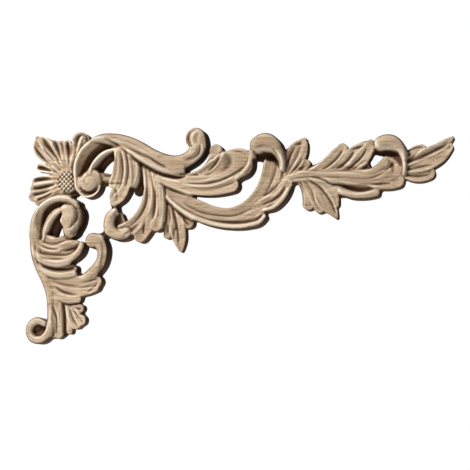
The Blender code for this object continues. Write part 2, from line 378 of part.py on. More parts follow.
def build():
    for old in list(bpy.data.objects):
        bpy.data.objects.remove(old, do_unlink=True)
    part_collection = bpy.data.collections.new("wooden_corner_onlay")
    stroke_collection = bpy.data.collections.new("strokes")
    cutter_collection = bpy.data.collections.new("cutters")
    for collection in (part_collection, stroke_collection, cutter_collection):
        bpy.context.scene.collection.children.link(collection)

    strokes = []
    for number, (name, (hollow, stations)) in enumerate(STROKES.items()):
        back = BACK_OVERRUN + BACK_STEP * number
        strokes.append(loft(name, stroke_sections(stations, hollow, back), stroke_collection))
    first = strokes.pop(0)
    stroke_collection.objects.unlink(first)
    part_collection.objects.link(first)
    first.name = "corner_onlay"
    for stroke in strokes:
        as_guide(stroke)
    cutter = back_cutter(cutter_collection)
    as_guide(cutter)

    join = first.modifiers.new("join_strokes", "BOOLEAN")
    join.operation = "UNION"
    join.solver = "EXACT"
    join.operand_type = "COLLECTION"
    join.collection = stroke_collection
    cut = first.modifiers.new("flat_back", "BOOLEAN")
    cut.operation = "DIFFERENCE"
    cut.solver = "EXACT"
    cut.object = cutter
    flat = first.modifiers.new("join_flat_faces", "DECIMATE")
    flat.decimate_type = "DISSOLVE"
    flat.angle_limit = math.radians(FLAT_ANGLE)
    first.data.materials.append(wood_material())


build()
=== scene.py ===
import math

import bmesh
import bpy
import numpy as np
from mathutils import Matrix, Vector
from mathutils.geometry import delaunay_2d_cdt


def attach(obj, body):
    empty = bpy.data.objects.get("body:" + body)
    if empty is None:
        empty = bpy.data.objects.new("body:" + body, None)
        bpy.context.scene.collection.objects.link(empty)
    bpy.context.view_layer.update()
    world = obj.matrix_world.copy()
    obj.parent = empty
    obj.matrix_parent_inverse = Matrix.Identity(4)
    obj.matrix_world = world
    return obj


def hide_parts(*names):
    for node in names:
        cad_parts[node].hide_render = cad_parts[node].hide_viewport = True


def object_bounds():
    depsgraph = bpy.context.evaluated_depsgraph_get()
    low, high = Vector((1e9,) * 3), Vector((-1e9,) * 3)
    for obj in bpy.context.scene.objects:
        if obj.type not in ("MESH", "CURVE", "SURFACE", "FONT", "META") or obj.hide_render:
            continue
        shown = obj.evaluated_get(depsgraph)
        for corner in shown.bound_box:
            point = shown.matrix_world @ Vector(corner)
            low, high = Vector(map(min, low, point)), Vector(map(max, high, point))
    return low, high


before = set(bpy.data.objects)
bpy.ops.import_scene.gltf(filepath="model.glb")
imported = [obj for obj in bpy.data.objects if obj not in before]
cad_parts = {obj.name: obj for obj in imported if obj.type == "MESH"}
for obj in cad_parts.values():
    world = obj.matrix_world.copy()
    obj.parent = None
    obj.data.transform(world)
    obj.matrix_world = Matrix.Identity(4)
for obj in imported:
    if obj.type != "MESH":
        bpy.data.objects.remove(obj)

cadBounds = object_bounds()
mm = 0.001

# Carved corner onlay of unfinished rubberwood: one board, pierced and carved from the front,
# sanded by hand, with router-cut sides and a flat sawn back. The carving is worked out on a
# fine grid in millimetres (x right, z up, height towards the viewer) and made into one mesh.

board = {
    "gridStep": 0.31,        # spacing of the mesh; six steps cross a narrow flute
    "finer": 2,              # how many times finer the grid is that the carving is worked out on
    "gridMargin": 2.0,       # how far the grid reaches past the strokes
    "uncarved": -6.0,        # height where there is no stroke
    "narrowest": 0.3,        # least half width of a stroke, and of a vein below
    "narrowVein": 0.2,
    "strokeStep": 0.8,       # spacing of the points along a stroke's middle line
    "strokeReach": 2.5,      # how far past its sides a stroke is worked out
    "veinReach": 3.0,
    "edgeDrop": 0.32,        # how far an arris is rolled over at a stroke's side
    "edgeBand": 0.55,        # width of that roll
    "sideFall": 3.4,         # steepness of a stroke's side where it stands over another
    "toolPitch": 1.5,        # distance between the gouge's marks along a hollowed stroke
    "toolDepth": 0.24,       # depth of those marks before sanding
    "toolVary": 0.7,         # how much of that depth comes and goes
    "toolFade": 9.0,         # how far the marks run before they change
    "runOn": 6,              # times that the heights are spread past the outline
    "runOnBlur": 1.0,        # grid steps of blur each time
    "runOnShare": 0.05,      # share of solid near a point from which on the heights reach it
    "leastShare": 0.02,      # least share of solid that a blur within the outline divides by
    "softEdge": 0.28,        # how far sanding rounds the arrises
    "softSeeds": 0.12,       # the same for the small beads
    "softDrop": 0.7,         # the same above a tall drop
    "tallDrop": (0.35, 0.9), # from how tall a drop on that counts, and where it counts in full
    "rimDrop": 0.4,          # how far the arris along the outline is rolled over
    "rimBand": 0.8,          # width of that roll
    "softOutline": 0.34,     # how far sanding fills the outline's sharp notches
    "wideView": 3.2,         # how far off the surroundings are that a hollow is measured from
    "narrowView": 0.55,      # the same for a fine crease or arris
    "snap": 0.3,             # grid points closer to the outline than this share move onto it
    "leastSteep": 0.05,      # least square of the slope that such a move is worked out with
    "crossing": 0.12,        # least share of a grid edge that the outline cuts off
    "rimPasses": 3,          # times that the outline is evened out
    "rimSmooth": 0.5,        # share that its points move each time
    "leastHeight": 1.5,      # thickness that is left at the outline's lowest places
    "wallRows": 3,           # rows of faces down the sides
    "sharpAngle": 48,        # degrees from which an edge is shaded sharp
    "sameSpot": 1e-6,        # points of the back closer than this are one
}

# Gouge strokes: the hollow of the top (below zero where it is rounded), then the stations along
# the middle line as (x, z, half width, height of the edge). A bed closes the gaps between strokes.
strokes = {
    # corner rosette
    "rosetteBed": (-0.6, [(-9, 12, 4.5, 3.8), (-4, 9, 7.5, 4.2), (0, 4, 8.5, 4.4),
        (1, -2, 7.2, 4.6)]),
    "rosetteBedTop": (0.0, [(-4.5, 13.5, 3.0, 4.2), (1, 13.5, 3.4, 4.2), (5, 13, 3.0, 4.2)]),
    "rosetteBedLeft": (0.0, [(-12, -5, 5.0, 3.8), (-4, -3, 6, 4.2)]),
    "cornerPetal": (1.2, [(0, 1, 1.2, 6.4), (-6, 8, 3.0, 6.8), (-10.6, 13.2, 5.0, 6.6),
        (-13.5, 16.8, 4.5, 6.2), (-15.6, 19.9, 0.9, 5.8)]),
    "topFluteA": (1.08, [(-0.5, 4, 0.9, 6.2), (-4, 11, 1.5, 6.0), (-6.8, 16.6, 1.9, 5.4)]),
    "topFluteB": (1.08, [(0.3, 4.5, 0.8, 6.2), (-1.9, 11, 1.4, 6.0), (-3.6, 16.6, 1.8, 5.4)]),
    "topFluteC": (1.08, [(1.3, 5, 0.8, 6.2), (0.3, 11, 1.4, 6.0), (-0.3, 16.6, 1.9, 5.4)]),
    "topPetal": (0.9, [(2.5, 4, 1.2, 6.6), (4.2, 10, 2.2, 6.8), (6.2, 15, 3.7, 6.8),
        (6.6, 17.3, 4.5, 6.6)]),
    "leftFlute": (0.8, [(-3, 2, 1.0, 6.2), (-9, 4.4, 1.7, 5.8), (-14.0, 5.6, 2.0, 5.2)]),
    "leftShellA": (0.8, [(-3, -0.5, 1.0, 6.2), (-9, -0.1, 1.6, 6.0), (-15.6, -1.0, 1.9, 5.6)]),
    "leftShellB": (0.8, [(-3, -2, 1.0, 6.4), (-9, -3.2, 1.7, 6.4), (-15.8, -4.6, 2.2, 6.0)]),
    "leftShellC": (0.8, [(-3, -4, 1.0, 6.6), (-9, -6.2, 1.8, 6.6), (-16.2, -8.4, 2.4, 6.2)]),
    "leftShellD": (0.8, [(-2, -6, 1.2, 6.8), (-8, -8.8, 1.9, 6.8), (-13.2, -10.8, 2.2, 6.4)]),
    "rosetteStemBed": (0.0, [(-12.4, -11.6, 1.5, 5.0), (-9.2, -12.4, 1.5, 5.0)]),
    "rosetteHeart": (-0.9, [(0.3, 1.6, 4.3, 5.7), (1.2, -2.6, 4.8, 5.7)]),
    # upper scroll
    "scrollBand": (2.4, [(27, 15.6, 2.8, 9.0), (21.5, 16.0, 3.4, 9.3), (16.2, 14.4, 4.2, 9.6),
        (12.1, 11.0, 4.7, 9.8), (9.4, 6, 4.5, 9.8), (8.6, 0.5, 3.8, 9.6), (8.6, -4.2, 2.9, 9.2),
        (11.2, -7.4, 2.4, 9.0), (14.4, -6.6, 2.0, 8.8), (16.2, -4.2, 1.6, 8.6)]),
    "scrollEye": (-1.6, [(11.2, -2.0, 5.2, 7.9), (12.6, -1.6, 5.2, 7.9)]),
    "scrollNeck": (-0.3, [(14.5, -0.6, 3.2, 6.4), (18.5, -0.6, 2.8, 6.4), (22.4, -1.2, 2.4, 6.4)]),
    "scrollLedge": (0.0, [(24.0, 11.6, 2.0, 3.6), (20.0, 10.7, 2.6, 3.6), (16.8, 8.0, 2.6, 3.6),
        (15.0, 4.4, 2.1, 3.6)]),
    "scrollTopBed": (0.0, [(9.4, 14.6, 1.5, 5.0), (13, 16.6, 1.2, 5.0)]),
    # upper stem with its ball end
    "upperStem": (-1.1, [(13, 17.2, 0.8, 8.8), (18, 18.2, 1.9, 8.8), (24, 17.3, 3.0, 8.6),
        (30, 15.2, 3.8, 8.4), (36, 12.4, 4.0, 8.2), (42, 9.0, 3.9, 8.0), (48, 6.4, 4.0, 7.8),
        (54, 5.4, 4.0, 7.6), (59, 7.0, 3.6, 7.6), (62.8, 9.8, 3.7, 7.8), (64.3, 13, 4.2, 8.0),
        (63.2, 17.2, 4.9, 8.0)]),
    "upperStemRim": (-0.5, [(31, 12.2, 0.9, 9.0), (36, 9.0, 1.3, 9.0), (42, 5.9, 1.6, 9.0),
        (48, 3.3, 1.7, 8.8), (54, 2.4, 1.8, 8.6), (57.2, 3.0, 1.9, 8.4)]),
    # fluted leaf below the scroll
    "scrollLeafBed": (0.0, [(29, 8, 4, 5.0), (30, 0, 4, 5.0)]),
    "scrollLeafGround": (0.0, [(35.0, 9, 2.0, 3.8), (36.6, 3, 2.2, 3.8), (36.4, -3, 2.1, 3.8),
        (34.8, -7.2, 1.5, 3.8)]),
    "scrollFluteRight": (0.6, [(31, 12.5, 1.5, 8.6), (33.7, 7, 1.9, 8.6), (34.2, 1, 1.9, 8.4),
        (32.8, -3.2, 1.9, 8.0)]),
    "scrollFluteLong": (0.7, [(28.6, 13, 1.5, 8.8), (31, 7, 1.9, 8.8), (31.3, 0, 2.0, 8.6),
        (29.8, -6, 2.2, 8.2), (27, -9.8, 2.5, 8.0), (24.6, -11.6, 2.1, 7.8)]),
    "scrollFluteMid": (0.7, [(26.6, 13, 1.5, 8.8), (28, 6.5, 1.8, 8.8), (27.8, 0, 2.0, 8.6),
        (26, -5.5, 2.4, 8.0), (24.4, -9.0, 2.3, 7.6)]),
    "scrollFluteLeft": (0.6, [(25.6, 12, 1.4, 8.8), (25.7, 6, 1.6, 8.6), (24.9, 1.0, 1.7, 8.4),
        (23.2, -3.4, 1.7, 7.8)]),
    # large falling leaf
    "fallLeafBed": (0.0, [(41, 9, 3.2, 5.0), (43, -2, 3.6, 5.0), (44.4, -12, 3.6, 5.0),
        (43, -19, 3.6, 5.0)]),
    "fallLeafTipBed": (0.0, [(41, -20, 2.6, 4.8), (34.8, -26.2, 1.8, 4.8)]),
    "fallLeafLeft": (0.9, [(39.4, 7.5, 2.2, 7.6), (41, 0, 2.6, 7.6), (41.2, -7, 2.6, 7.6),
        (40, -14, 2.8, 7.6), (37.2, -19.6, 3.2, 7.4), (33, -23.8, 3.5, 7.4),
        (28.6, -25.6, 3.2, 7.4)]),
    "fallLeafMid": (0.9, [(41.5, 4, 1.6, 7.8), (44, -2, 2.1, 7.8), (44.6, -9, 2.3, 7.8),
        (43.6, -17, 2.6, 7.6), (41, -23.2, 2.9, 7.4), (37.6, -27.8, 3.1, 7.2)]),
    "fallLeafRight": (0.7, [(43, 2.5, 1.2, 7.9), (46, -4, 1.6, 7.9), (47.2, -11, 1.8, 7.9),
        (47, -18, 2.2, 7.7), (45.2, -22.8, 3.0, 7.4)]),
    "fallLeafCurl": (-1.4, [(30.5, -26.7, 2.8, 7.4), (26.4, -27.0, 2.9, 7.4),
        (23.3, -25.0, 3.0, 7.5), (22.5, -21.6, 2.7, 7.7), (23.5, -18.2, 2.4, 7.8),
        (25.0, -16.6, 1.8, 7.7)]),
    "fallLeafCurlCup": (0.9, [(29.6, -24.4, 2.6, 6.7), (27.6, -21.4, 2.5, 6.7),
        (26.8, -18.4, 1.9, 6.7)]),
    "tipJoint": (0.0, [(24.2, -12.4, 1.6, 5.0), (24.8, -16.4, 1.6, 5.0)]),
    # three lobed leaf
    "smallLeafBed": (0.0, [(47.6, -3, 2.4, 4.4), (49.6, -10, 2.2, 4.4), (50, -20, 2.2, 4.0)]),
    "smallLeafLeft": (0.4, [(50.4, -12, 1.5, 5.6), (50.5, -21, 1.9, 5.5),
        (50.1, -27.2, 2.0, 5.2)]),
    "smallLeafRight": (0.4, [(53.5, -13, 1.9, 5.8), (57.4, -18.6, 2.6, 5.6),
        (60.1, -21.8, 2.7, 5.4)]),
    "smallLeafMiddle": (0.9, [(51, -9, 1.4, 6.0), (53, -17, 3.0, 6.0), (54.9, -25, 3.8, 5.9),
        (56.2, -31, 2.6, 5.6), (56.6, -34.6, 0.8, 5.4)]),
    # long S stem
    "sStemBed": (0.0, [(45, -1, 2.6, 5.0), (52, -5.4, 3.0, 5.0), (60, -9.6, 2.4, 5.0)]),
    "sStemRimBed": (0.0, [(55, -13.4, 1.4, 5.0), (62.4, -18.6, 1.7, 5.0), (70, -21.2, 1.8, 5.0)]),
    "sStemBand": (1.0, [(48, -5, 1.8, 7.1), (56, -11.2, 3.5, 7.1), (64, -15.8, 4.6, 7.1),
        (72, -18.9, 4.5, 7.1), (80, -19.9, 4.6, 7.1), (88, -17.4, 5.0, 7.1), (94, -11.8, 4.8, 7.1),
        (97.9, -5, 4.9, 7.0), (99.2, 2, 4.5, 6.6), (99, 8, 3.9, 5.6)]),
    "sStemHeel": (0.6, [(82, -20.0, 1.6, 5.6), (88, -20.0, 2.9, 6.6), (93.4, -19.2, 3.4, 7.0)]),
    "sStemRim": (-0.4, [(49.6, -9.7, 0.7, 7.3), (56, -15.5, 0.9, 7.4), (64, -20.0, 1.1, 7.4),
        (72, -22.7, 1.2, 7.5), (80, -23.9, 1.2, 7.5), (88, -23.7, 1.2, 7.5),
        (94.2, -22.0, 1.1, 7.5), (96.3, -19.6, 1.0, 7.4)]),
    "sStemLobe": (0.8, [(90, -16.8, 2.0, 6.2), (97, -13.8, 3.3, 7.2), (103, -9.8, 3.6, 7.8),
        (106.4, -5, 2.6, 8.0)]),
    "sStemLobeRim": (-0.3, [(96, -16.5, 0.8, 7.8), (100.4, -15.5, 1.1, 7.9),
        (104.4, -12.1, 1.2, 8.0), (107.2, -7.4, 1.1, 8.0)]),
    # leaf that points right
    "pointLeafBed": (0.0, [(38, 6.5, 2.6, 5.0), (46, 1.4, 2.8, 5.0), (54, -1.6, 2.8, 5.0),
        (64, -3.4, 3.0, 5.0), (74, -3.0, 3.2, 5.0), (80, -1.6, 2.6, 5.0)]),
    "pointLeafRim": (0.8, [(45.5, -1.4, 1.2, 8.2), (53, -4.1, 1.9, 8.3), (60, -6.1, 2.4, 8.4),
        (67, -6.9, 2.7, 8.5), (74, -6.4, 3.1, 8.5), (80.8, -4.9, 3.3, 8.4)]),
    "pointLeafSecond": (0.7, [(47, 0.6, 1.1, 8.0), (55, -1.3, 1.6, 8.0), (63, -2.2, 1.8, 7.9),
        (69, -1.9, 1.6, 7.6), (74, -0.4, 0.9, 7.0)]),
    "pointLeafCup": (1.5, [(58, -1.0, 1.8, 7.7), (66, -0.2, 3.0, 7.9), (73, 2.4, 5.0, 8.1),
        (79.6, 4.6, 6.7, 8.3), (84.0, 5.0, 7.0, 8.5)]),
    "pointLeafEdge": (-0.3, [(83.4, -1.6, 1.3, 8.4), (87.4, 1.6, 1.2, 8.6), (89.6, 6, 1.2, 8.6),
        (89.8, 10.2, 1.3, 8.4)]),
    "pointLeafLobe": (0.5, [(66, 1.2, 1.6, 7.2), (71.7, 6.0, 2.9, 7.15), (73.2, 9.4, 3.6, 7.0),
        (72.8, 11.2, 3.2, 6.8)]),
    # first hood
    "hoodOne": (-1.3, [(104, 2, 1.0, 7.4), (103.2, 8, 1.9, 7.8), (100.6, 12.6, 3.3, 8.4),
        (96.4, 14.5, 4.2, 8.6), (92.8, 13.4, 3.7, 8.4)]),
    "hoodOneBed": (0.0, [(91.6, 8.6, 1.7, 3.8), (95.2, 8.2, 2.0, 3.8), (99, 7.4, 2.0, 3.8)]),
    # leaf that points up
    "sideLeafBed": (0.0, [(103, -1, 4.0, 5.0), (110, 0.6, 4.0, 5.0), (115.4, 1.0, 2.2, 5.0)]),
    "upLeafSide": (0.4, [(104.5, -2, 1.2, 6.2), (105.2, 5, 1.6, 6.2), (106.4, 10, 1.7, 5.9)]),
    "upLeafMain": (0.7, [(105.2, -3, 1.3, 6.8), (107, 4, 2.5, 6.6), (110, 10.4, 3.7, 6.3),
        (112.6, 14, 2.4, 6.0), (114.2, 16.0, 0.8, 5.8)]),
    "upLeafRight": (0.5, [(107, -1.5, 1.2, 6.8), (110.4, 4.4, 2.0, 6.5), (113.0, 9.6, 2.3, 6.1),
        (114.2, 14.0, 1.3, 5.8)]),
    "upLeafLow": (0.5, [(108.5, -1.6, 1.2, 6.8), (112, 1.8, 1.9, 6.3), (114.8, 4.6, 2.1, 5.8)]),
    # leaf that points down
    "downLeafLeft": (0.5, [(111.6, -2.6, 1.5, 6.8), (115.2, -8, 2.4, 6.3),
        (116.2, -13.8, 2.9, 5.8)]),
    "downLeafLobe": (0.5, [(115.5, -5, 1.8, 6.6), (119.2, -11, 2.6, 6.2),
        (121.4, -15.6, 2.6, 5.8)]),
    "downLeafMain": (0.8, [(108.4, -0.2, 0.8, 7.2), (113.4, -2.2, 1.6, 7.3),
        (119.6, -7.2, 2.6, 6.7), (124.2, -13.2, 3.8, 6.2), (127.4, -17.4, 2.2, 5.9),
        (128.9, -20.0, 0.8, 5.7)]),
    "downLeafRight": (0.6, [(110, 0.4, 0.8, 7.4), (116, -1.3, 1.5, 7.5), (122, -4.4, 1.9, 7.0),
        (127, -9.2, 2.4, 6.6), (128.6, -14, 1.6, 6.2)]),
    # right arm
    "armBand": (-0.35, [(102, -5.2, 1.0, 6.0), (107, -2.8, 2.2, 6.9), (113, -1.4, 2.5, 7.1),
        (121, -1.3, 2.8, 7.1), (129, -1.7, 3.0, 7.0), (137, -2.2, 3.2, 6.9),
        (144.6, -2.0, 3.6, 6.8), (150.6, 0.8, 4.4, 6.5), (153.8, 5.2, 4.2, 5.8),
        (154.4, 8.6, 3.6, 5.0)]),
    "armBed": (0.0, [(118, 1.6, 2.4, 4.8), (127, 3, 3.0, 4.8), (136, 3, 3.2, 4.8),
        (141.6, 2.8, 2.6, 4.8)]),
    "armRimBed": (0.0, [(126.4, -6.0, 1.5, 4.8), (130.0, -8.6, 1.8, 4.8), (134, -8.8, 1.6, 4.8)]),
    "armChannel": (1.4, [(124.6, -4.6, 1.4, 6.5), (128.4, -4.8, 1.9, 6.8), (134, -6.2, 2.6, 6.8),
        (141, -7.0, 2.9, 6.8), (147, -6.4, 2.8, 6.8)]),
    "armRim": (-0.3, [(130.4, -8.2, 1.0, 7.0), (135, -10.1, 1.4, 7.0), (141, -10.6, 1.5, 7.0),
        (147, -9.4, 1.8, 6.8)]),
    "armLowerLobe": (0.6, [(144, -4, 2.2, 7.0), (150, -4.6, 3.3, 7.0), (156.4, -4.2, 3.1, 6.8)]),
    "armShoulder": (0.3, [(150, 0, 3.2, 6.8), (154, 0.6, 4.0, 6.8), (155.2, 4, 3.2, 6.2)]),
    "armLobeA": (0.6, [(113.6, -0.6, 0.8, 7.3), (118.6, 1.2, 1.6, 7.2), (124, 4.0, 2.5, 6.6),
        (129.4, 8.6, 3.0, 6.3), (131.4, 11.2, 2.4, 6.0)]),
    "armLobeB": (0.6, [(121.6, -0.8, 0.8, 7.2), (127.2, 1.8, 1.7, 7.0), (132, 5.4, 2.6, 6.4),
        (137, 9.4, 2.8, 6.3), (141.6, 12.6, 1.8, 6.0)]),
    "armLobeC": (0.6, [(127.8, -1.0, 0.8, 7.15), (133.2, 1.4, 1.7, 6.95), (138.4, 4.8, 3.1, 6.5),
        (142.2, 9.2, 3.1, 6.35), (144.1, 13.1, 1.9, 6.15)]),
    # second hood
    "hoodTwoBed": (0.0, [(157.4, 7.6, 1.6, 4.6), (157.8, 2.0, 1.8, 4.6)]),
    "hoodTwo": (-1.2, [(159.3, -1, 0.8, 6.6), (159.6, 5, 1.2, 7.0), (158, 10.4, 2.2, 7.6),
        (153.8, 13.2, 3.3, 8.0), (149.2, 13.0, 3.1, 7.8)]),
    "hoodTwoUnder": (0.0, [(144.4, 11.0, 1.6, 3.8), (148.4, 9.8, 1.7, 3.8), (153, 9.0, 1.6, 3.8)]),
    # end leaf
    "endLeafBed": (0.0, [(156, -1, 3.0, 4.8), (162, 3, 3.2, 4.8), (168, 4, 3.0, 4.8)]),
    "endLeafBottom": (0.8, [(158.6, -0.6, 1.5, 6.4), (164, -1.7, 2.9, 6.4),
        (170.4, -0.8, 2.8, 6.2)]),
    "endLeafLow": (0.9, [(159, 1.4, 1.6, 6.6), (167, 3.2, 3.3, 6.6), (174, 6.6, 3.7, 6.4),
        (179, 10.8, 2.1, 6.0)]),
    "endLeafLobe": (0.4, [(160, 5, 1.7, 6.2), (163.4, 8.4, 2.5, 6.2), (167.0, 10.2, 2.1, 6.0)]),
    "endLeafTip": (0.5, [(160, 3.6, 1.6, 6.8), (167, 7.4, 2.1, 6.8), (174, 10.4, 2.0, 6.6),
        (178.6, 13.2, 1.5, 6.3), (181, 15.2, 0.5, 6.0)]),
    # lower scroll and left stem
    "leftStem": (-0.6, [(-5.9, -71, 1.3, 6.4), (-5.9, -62, 1.4, 6.2), (-6.3, -55, 1.8, 6.0),
        (-8.6, -48, 2.1, 6.2), (-11.5, -42, 2.3, 6.5), (-13.5, -36, 2.4, 6.9),
        (-14.2, -30, 2.4, 7.4), (-14.1, -24, 2.4, 8.4), (-13.2, -18.4, 1.9, 9.0),
        (-10.8, -13.8, 1.3, 9.0), (-7, -11, 1.1, 9.0), (-2.5, -9.8, 1.2, 9.0),
        (2, -10.6, 1.6, 8.8), (6, -12.8, 2.0, 8.4)]),
    "lowerScrollLedge": (0.0, [(0.4, -17.0, 1.8, 3.6), (-3.4, -19.0, 2.8, 3.6),
        (-6.2, -22.6, 3.0, 3.6), (-7.4, -26.8, 2.9, 3.6)]),
    "lowerScrollBand": (2.2, [(-11.8, -28, 2.4, 8.2), (-11.2, -22.5, 2.9, 8.8),
        (-8.4, -16.9, 3.1, 9.0), (-3.8, -13.2, 3.1, 9.0), (1.5, -12.8, 2.6, 9.0)]),
    "lowerScrollEye": (-2.6, [(1.5, -14.4, 3.6, 7.0), (3.4, -17.0, 6.2, 7.0),
        (3.9, -20.4, 5.9, 7.0), (3.6, -24.6, 4.0, 7.0)]),
    "cupLeafBed": (0.0, [(-12, -26.5, 2.4, 5.0), (-6, -33, 4.2, 5.0), (2, -33, 4.2, 5.0)]),
    "cupLeafLip": (0.4, [(-11.8, -26.4, 1.7, 7.0), (-8.4, -29.2, 1.9, 7.0),
        (-3.6, -30.2, 2.0, 7.0), (0.6, -29.0, 1.8, 6.8), (3.4, -27.4, 1.6, 6.6)]),
    "cupLeafUpper": (0.5, [(-14.8, -25.6, 1.1, 7.9), (-13.4, -29.4, 1.5, 7.8),
        (-10, -32.0, 1.7, 7.8), (-4.5, -33.2, 1.8, 7.8), (1.5, -32, 1.8, 7.8),
        (6.4, -30.9, 1.4, 7.8)]),
    "cupLeafMiddle": (1.3, [(-15.2, -28.8, 1.1, 7.9), (-13.4, -33.0, 1.7, 8.0),
        (-9, -35.8, 2.1, 8.0), (-2.5, -36.6, 2.4, 8.0), (3.5, -35.0, 2.7, 8.0),
        (7.6, -32.8, 2.4, 8.0)]),
    "cupLeafRim": (-0.4, [(-14.8, -32.8, 1.0, 7.6), (-13, -36.4, 1.5, 8.0), (-8, -39.3, 1.8, 8.0),
        (-1.5, -40.2, 1.8, 8.2), (4.5, -38.2, 1.7, 8.2), (8.3, -35, 1.6, 8.2),
        (9.4, -31.6, 1.4, 8.0)]),
    "underLeafTopBed": (0.0, [(-8, -41.2, 1.3, 4.6), (-2, -42.2, 1.5, 4.6), (3, -41.2, 1.3, 4.6)]),
    "underLeafBed": (0.0, [(-9.6, -42.5, 2.0, 4.6), (-4, -46, 3.0, 4.6), (4, -46.4, 3.0, 4.6),
        (9, -47.6, 2.0, 4.6)]),
    "underLeaf": (0.5, [(-13.9, -37.0, 1.1, 7.0), (-11.4, -40.6, 1.5, 7.0), (-7, -42.8, 2.0, 6.8),
        (-1, -43.8, 2.1, 6.8), (5.0, -43.0, 2.1, 6.6)]),
    "underLeafRim": (-0.3, [(-12.8, -40.2, 0.8, 7.0), (-10.2, -43.2, 1.1, 7.2),
        (-6, -45.3, 1.3, 7.2), (0, -46.0, 1.3, 7.2), (5.6, -45.2, 1.4, 7.0)]),
    "tongueUpper": (0.6, [(-11.0, -43.4, 1.1, 6.8), (-8.4, -46.6, 2.0, 6.8), (-3, -48.9, 2.5, 6.7),
        (4, -49.6, 2.8, 6.7), (11, -49.4, 3.2, 6.7), (16.2, -48.9, 3.1, 6.6)]),
    "tongueMiddle": (0.6, [(-9.0, -47.4, 1.0, 6.6), (-7, -50.4, 1.7, 6.7), (-2, -52.8, 2.1, 6.7),
        (4, -53.8, 2.2, 6.7), (10, -53.1, 2.6, 6.7), (15.6, -51.2, 2.6, 6.5)]),
    "tongueLower": (0.5, [(-7.4, -51.0, 1.0, 6.5), (-6.2, -53.8, 1.5, 6.5),
        (-2.6, -55.7, 1.8, 6.5), (3, -57.0, 2.0, 6.5), (7.4, -56.8, 2.0, 6.3)]),
    "tongueCurl": (-1.1, [(6.6, -48.0, 1.2, 5.2), (11.4, -46.8, 2.1, 6.2), (15.4, -44.2, 2.6, 6.9),
        (18.2, -41.0, 2.5, 7.3), (19.6, -37.2, 2.4, 7.6), (19.2, -33, 2.8, 7.8),
        (17.2, -30.4, 3.4, 8.0), (14.8, -29.9, 3.6, 8.0)]),
    "curlJoint": (0.0, [(18.6, -28.0, 1.6, 5.2), (21.4, -25.4, 1.6, 5.2)]),
    # foot
    "footBed": (0.0, [(-1.5, -59, 5.0, 4.2), (-0.5, -66, 5.2, 4.2), (-1.5, -71, 4.2, 4.2)]),
    "footFluteLeft": (0.4, [(-4.6, -58, 1.5, 6.4), (-4.4, -66, 1.6, 6.2),
        (-4.2, -73.6, 1.9, 5.8)]),
    "footFluteRight": (0.4, [(-1.9, -58, 1.5, 6.4), (-1.7, -66, 1.6, 6.2),
        (-1.4, -73.8, 1.9, 5.8)]),
    "footLeafStalk": (0.3, [(1.8, -60, 1.2, 5.0), (2.9, -67, 1.3, 5.0), (3.8, -72, 1.5, 4.8)]),
    "footLeafMain": (0.7, [(2.8, -59, 2.0, 5.7), (5.2, -64.5, 3.0, 5.7), (6.8, -68.0, 3.1, 5.5)]),
    "footLeafTopLobe": (0.3, [(3.6, -60, 1.7, 5.5), (8.5, -61.4, 2.1, 5.3)]),
    "footLeafSideLobe": (0.4, [(4.8, -62.5, 2.2, 5.6), (8.9, -66.8, 2.8, 5.4)]),
    "footScroll": (-0.6, [(-5.6, -68, 1.5, 6.6), (-6.4, -73.4, 1.8, 6.8), (-9.6, -76.3, 1.7, 7.0),
        (-13.4, -76.0, 1.6, 7.0), (-15.7, -72.6, 1.5, 7.0), (-14.8, -68.8, 1.5, 7.0),
        (-11.6, -67.1, 1.5, 7.0), (-8.6, -68.2, 1.4, 6.8)]),
    "footScrollBowl": (1.2, [(-9.4, -70.4, 3.2, 5.4), (-11.6, -71.8, 4.1, 5.4)]),
}

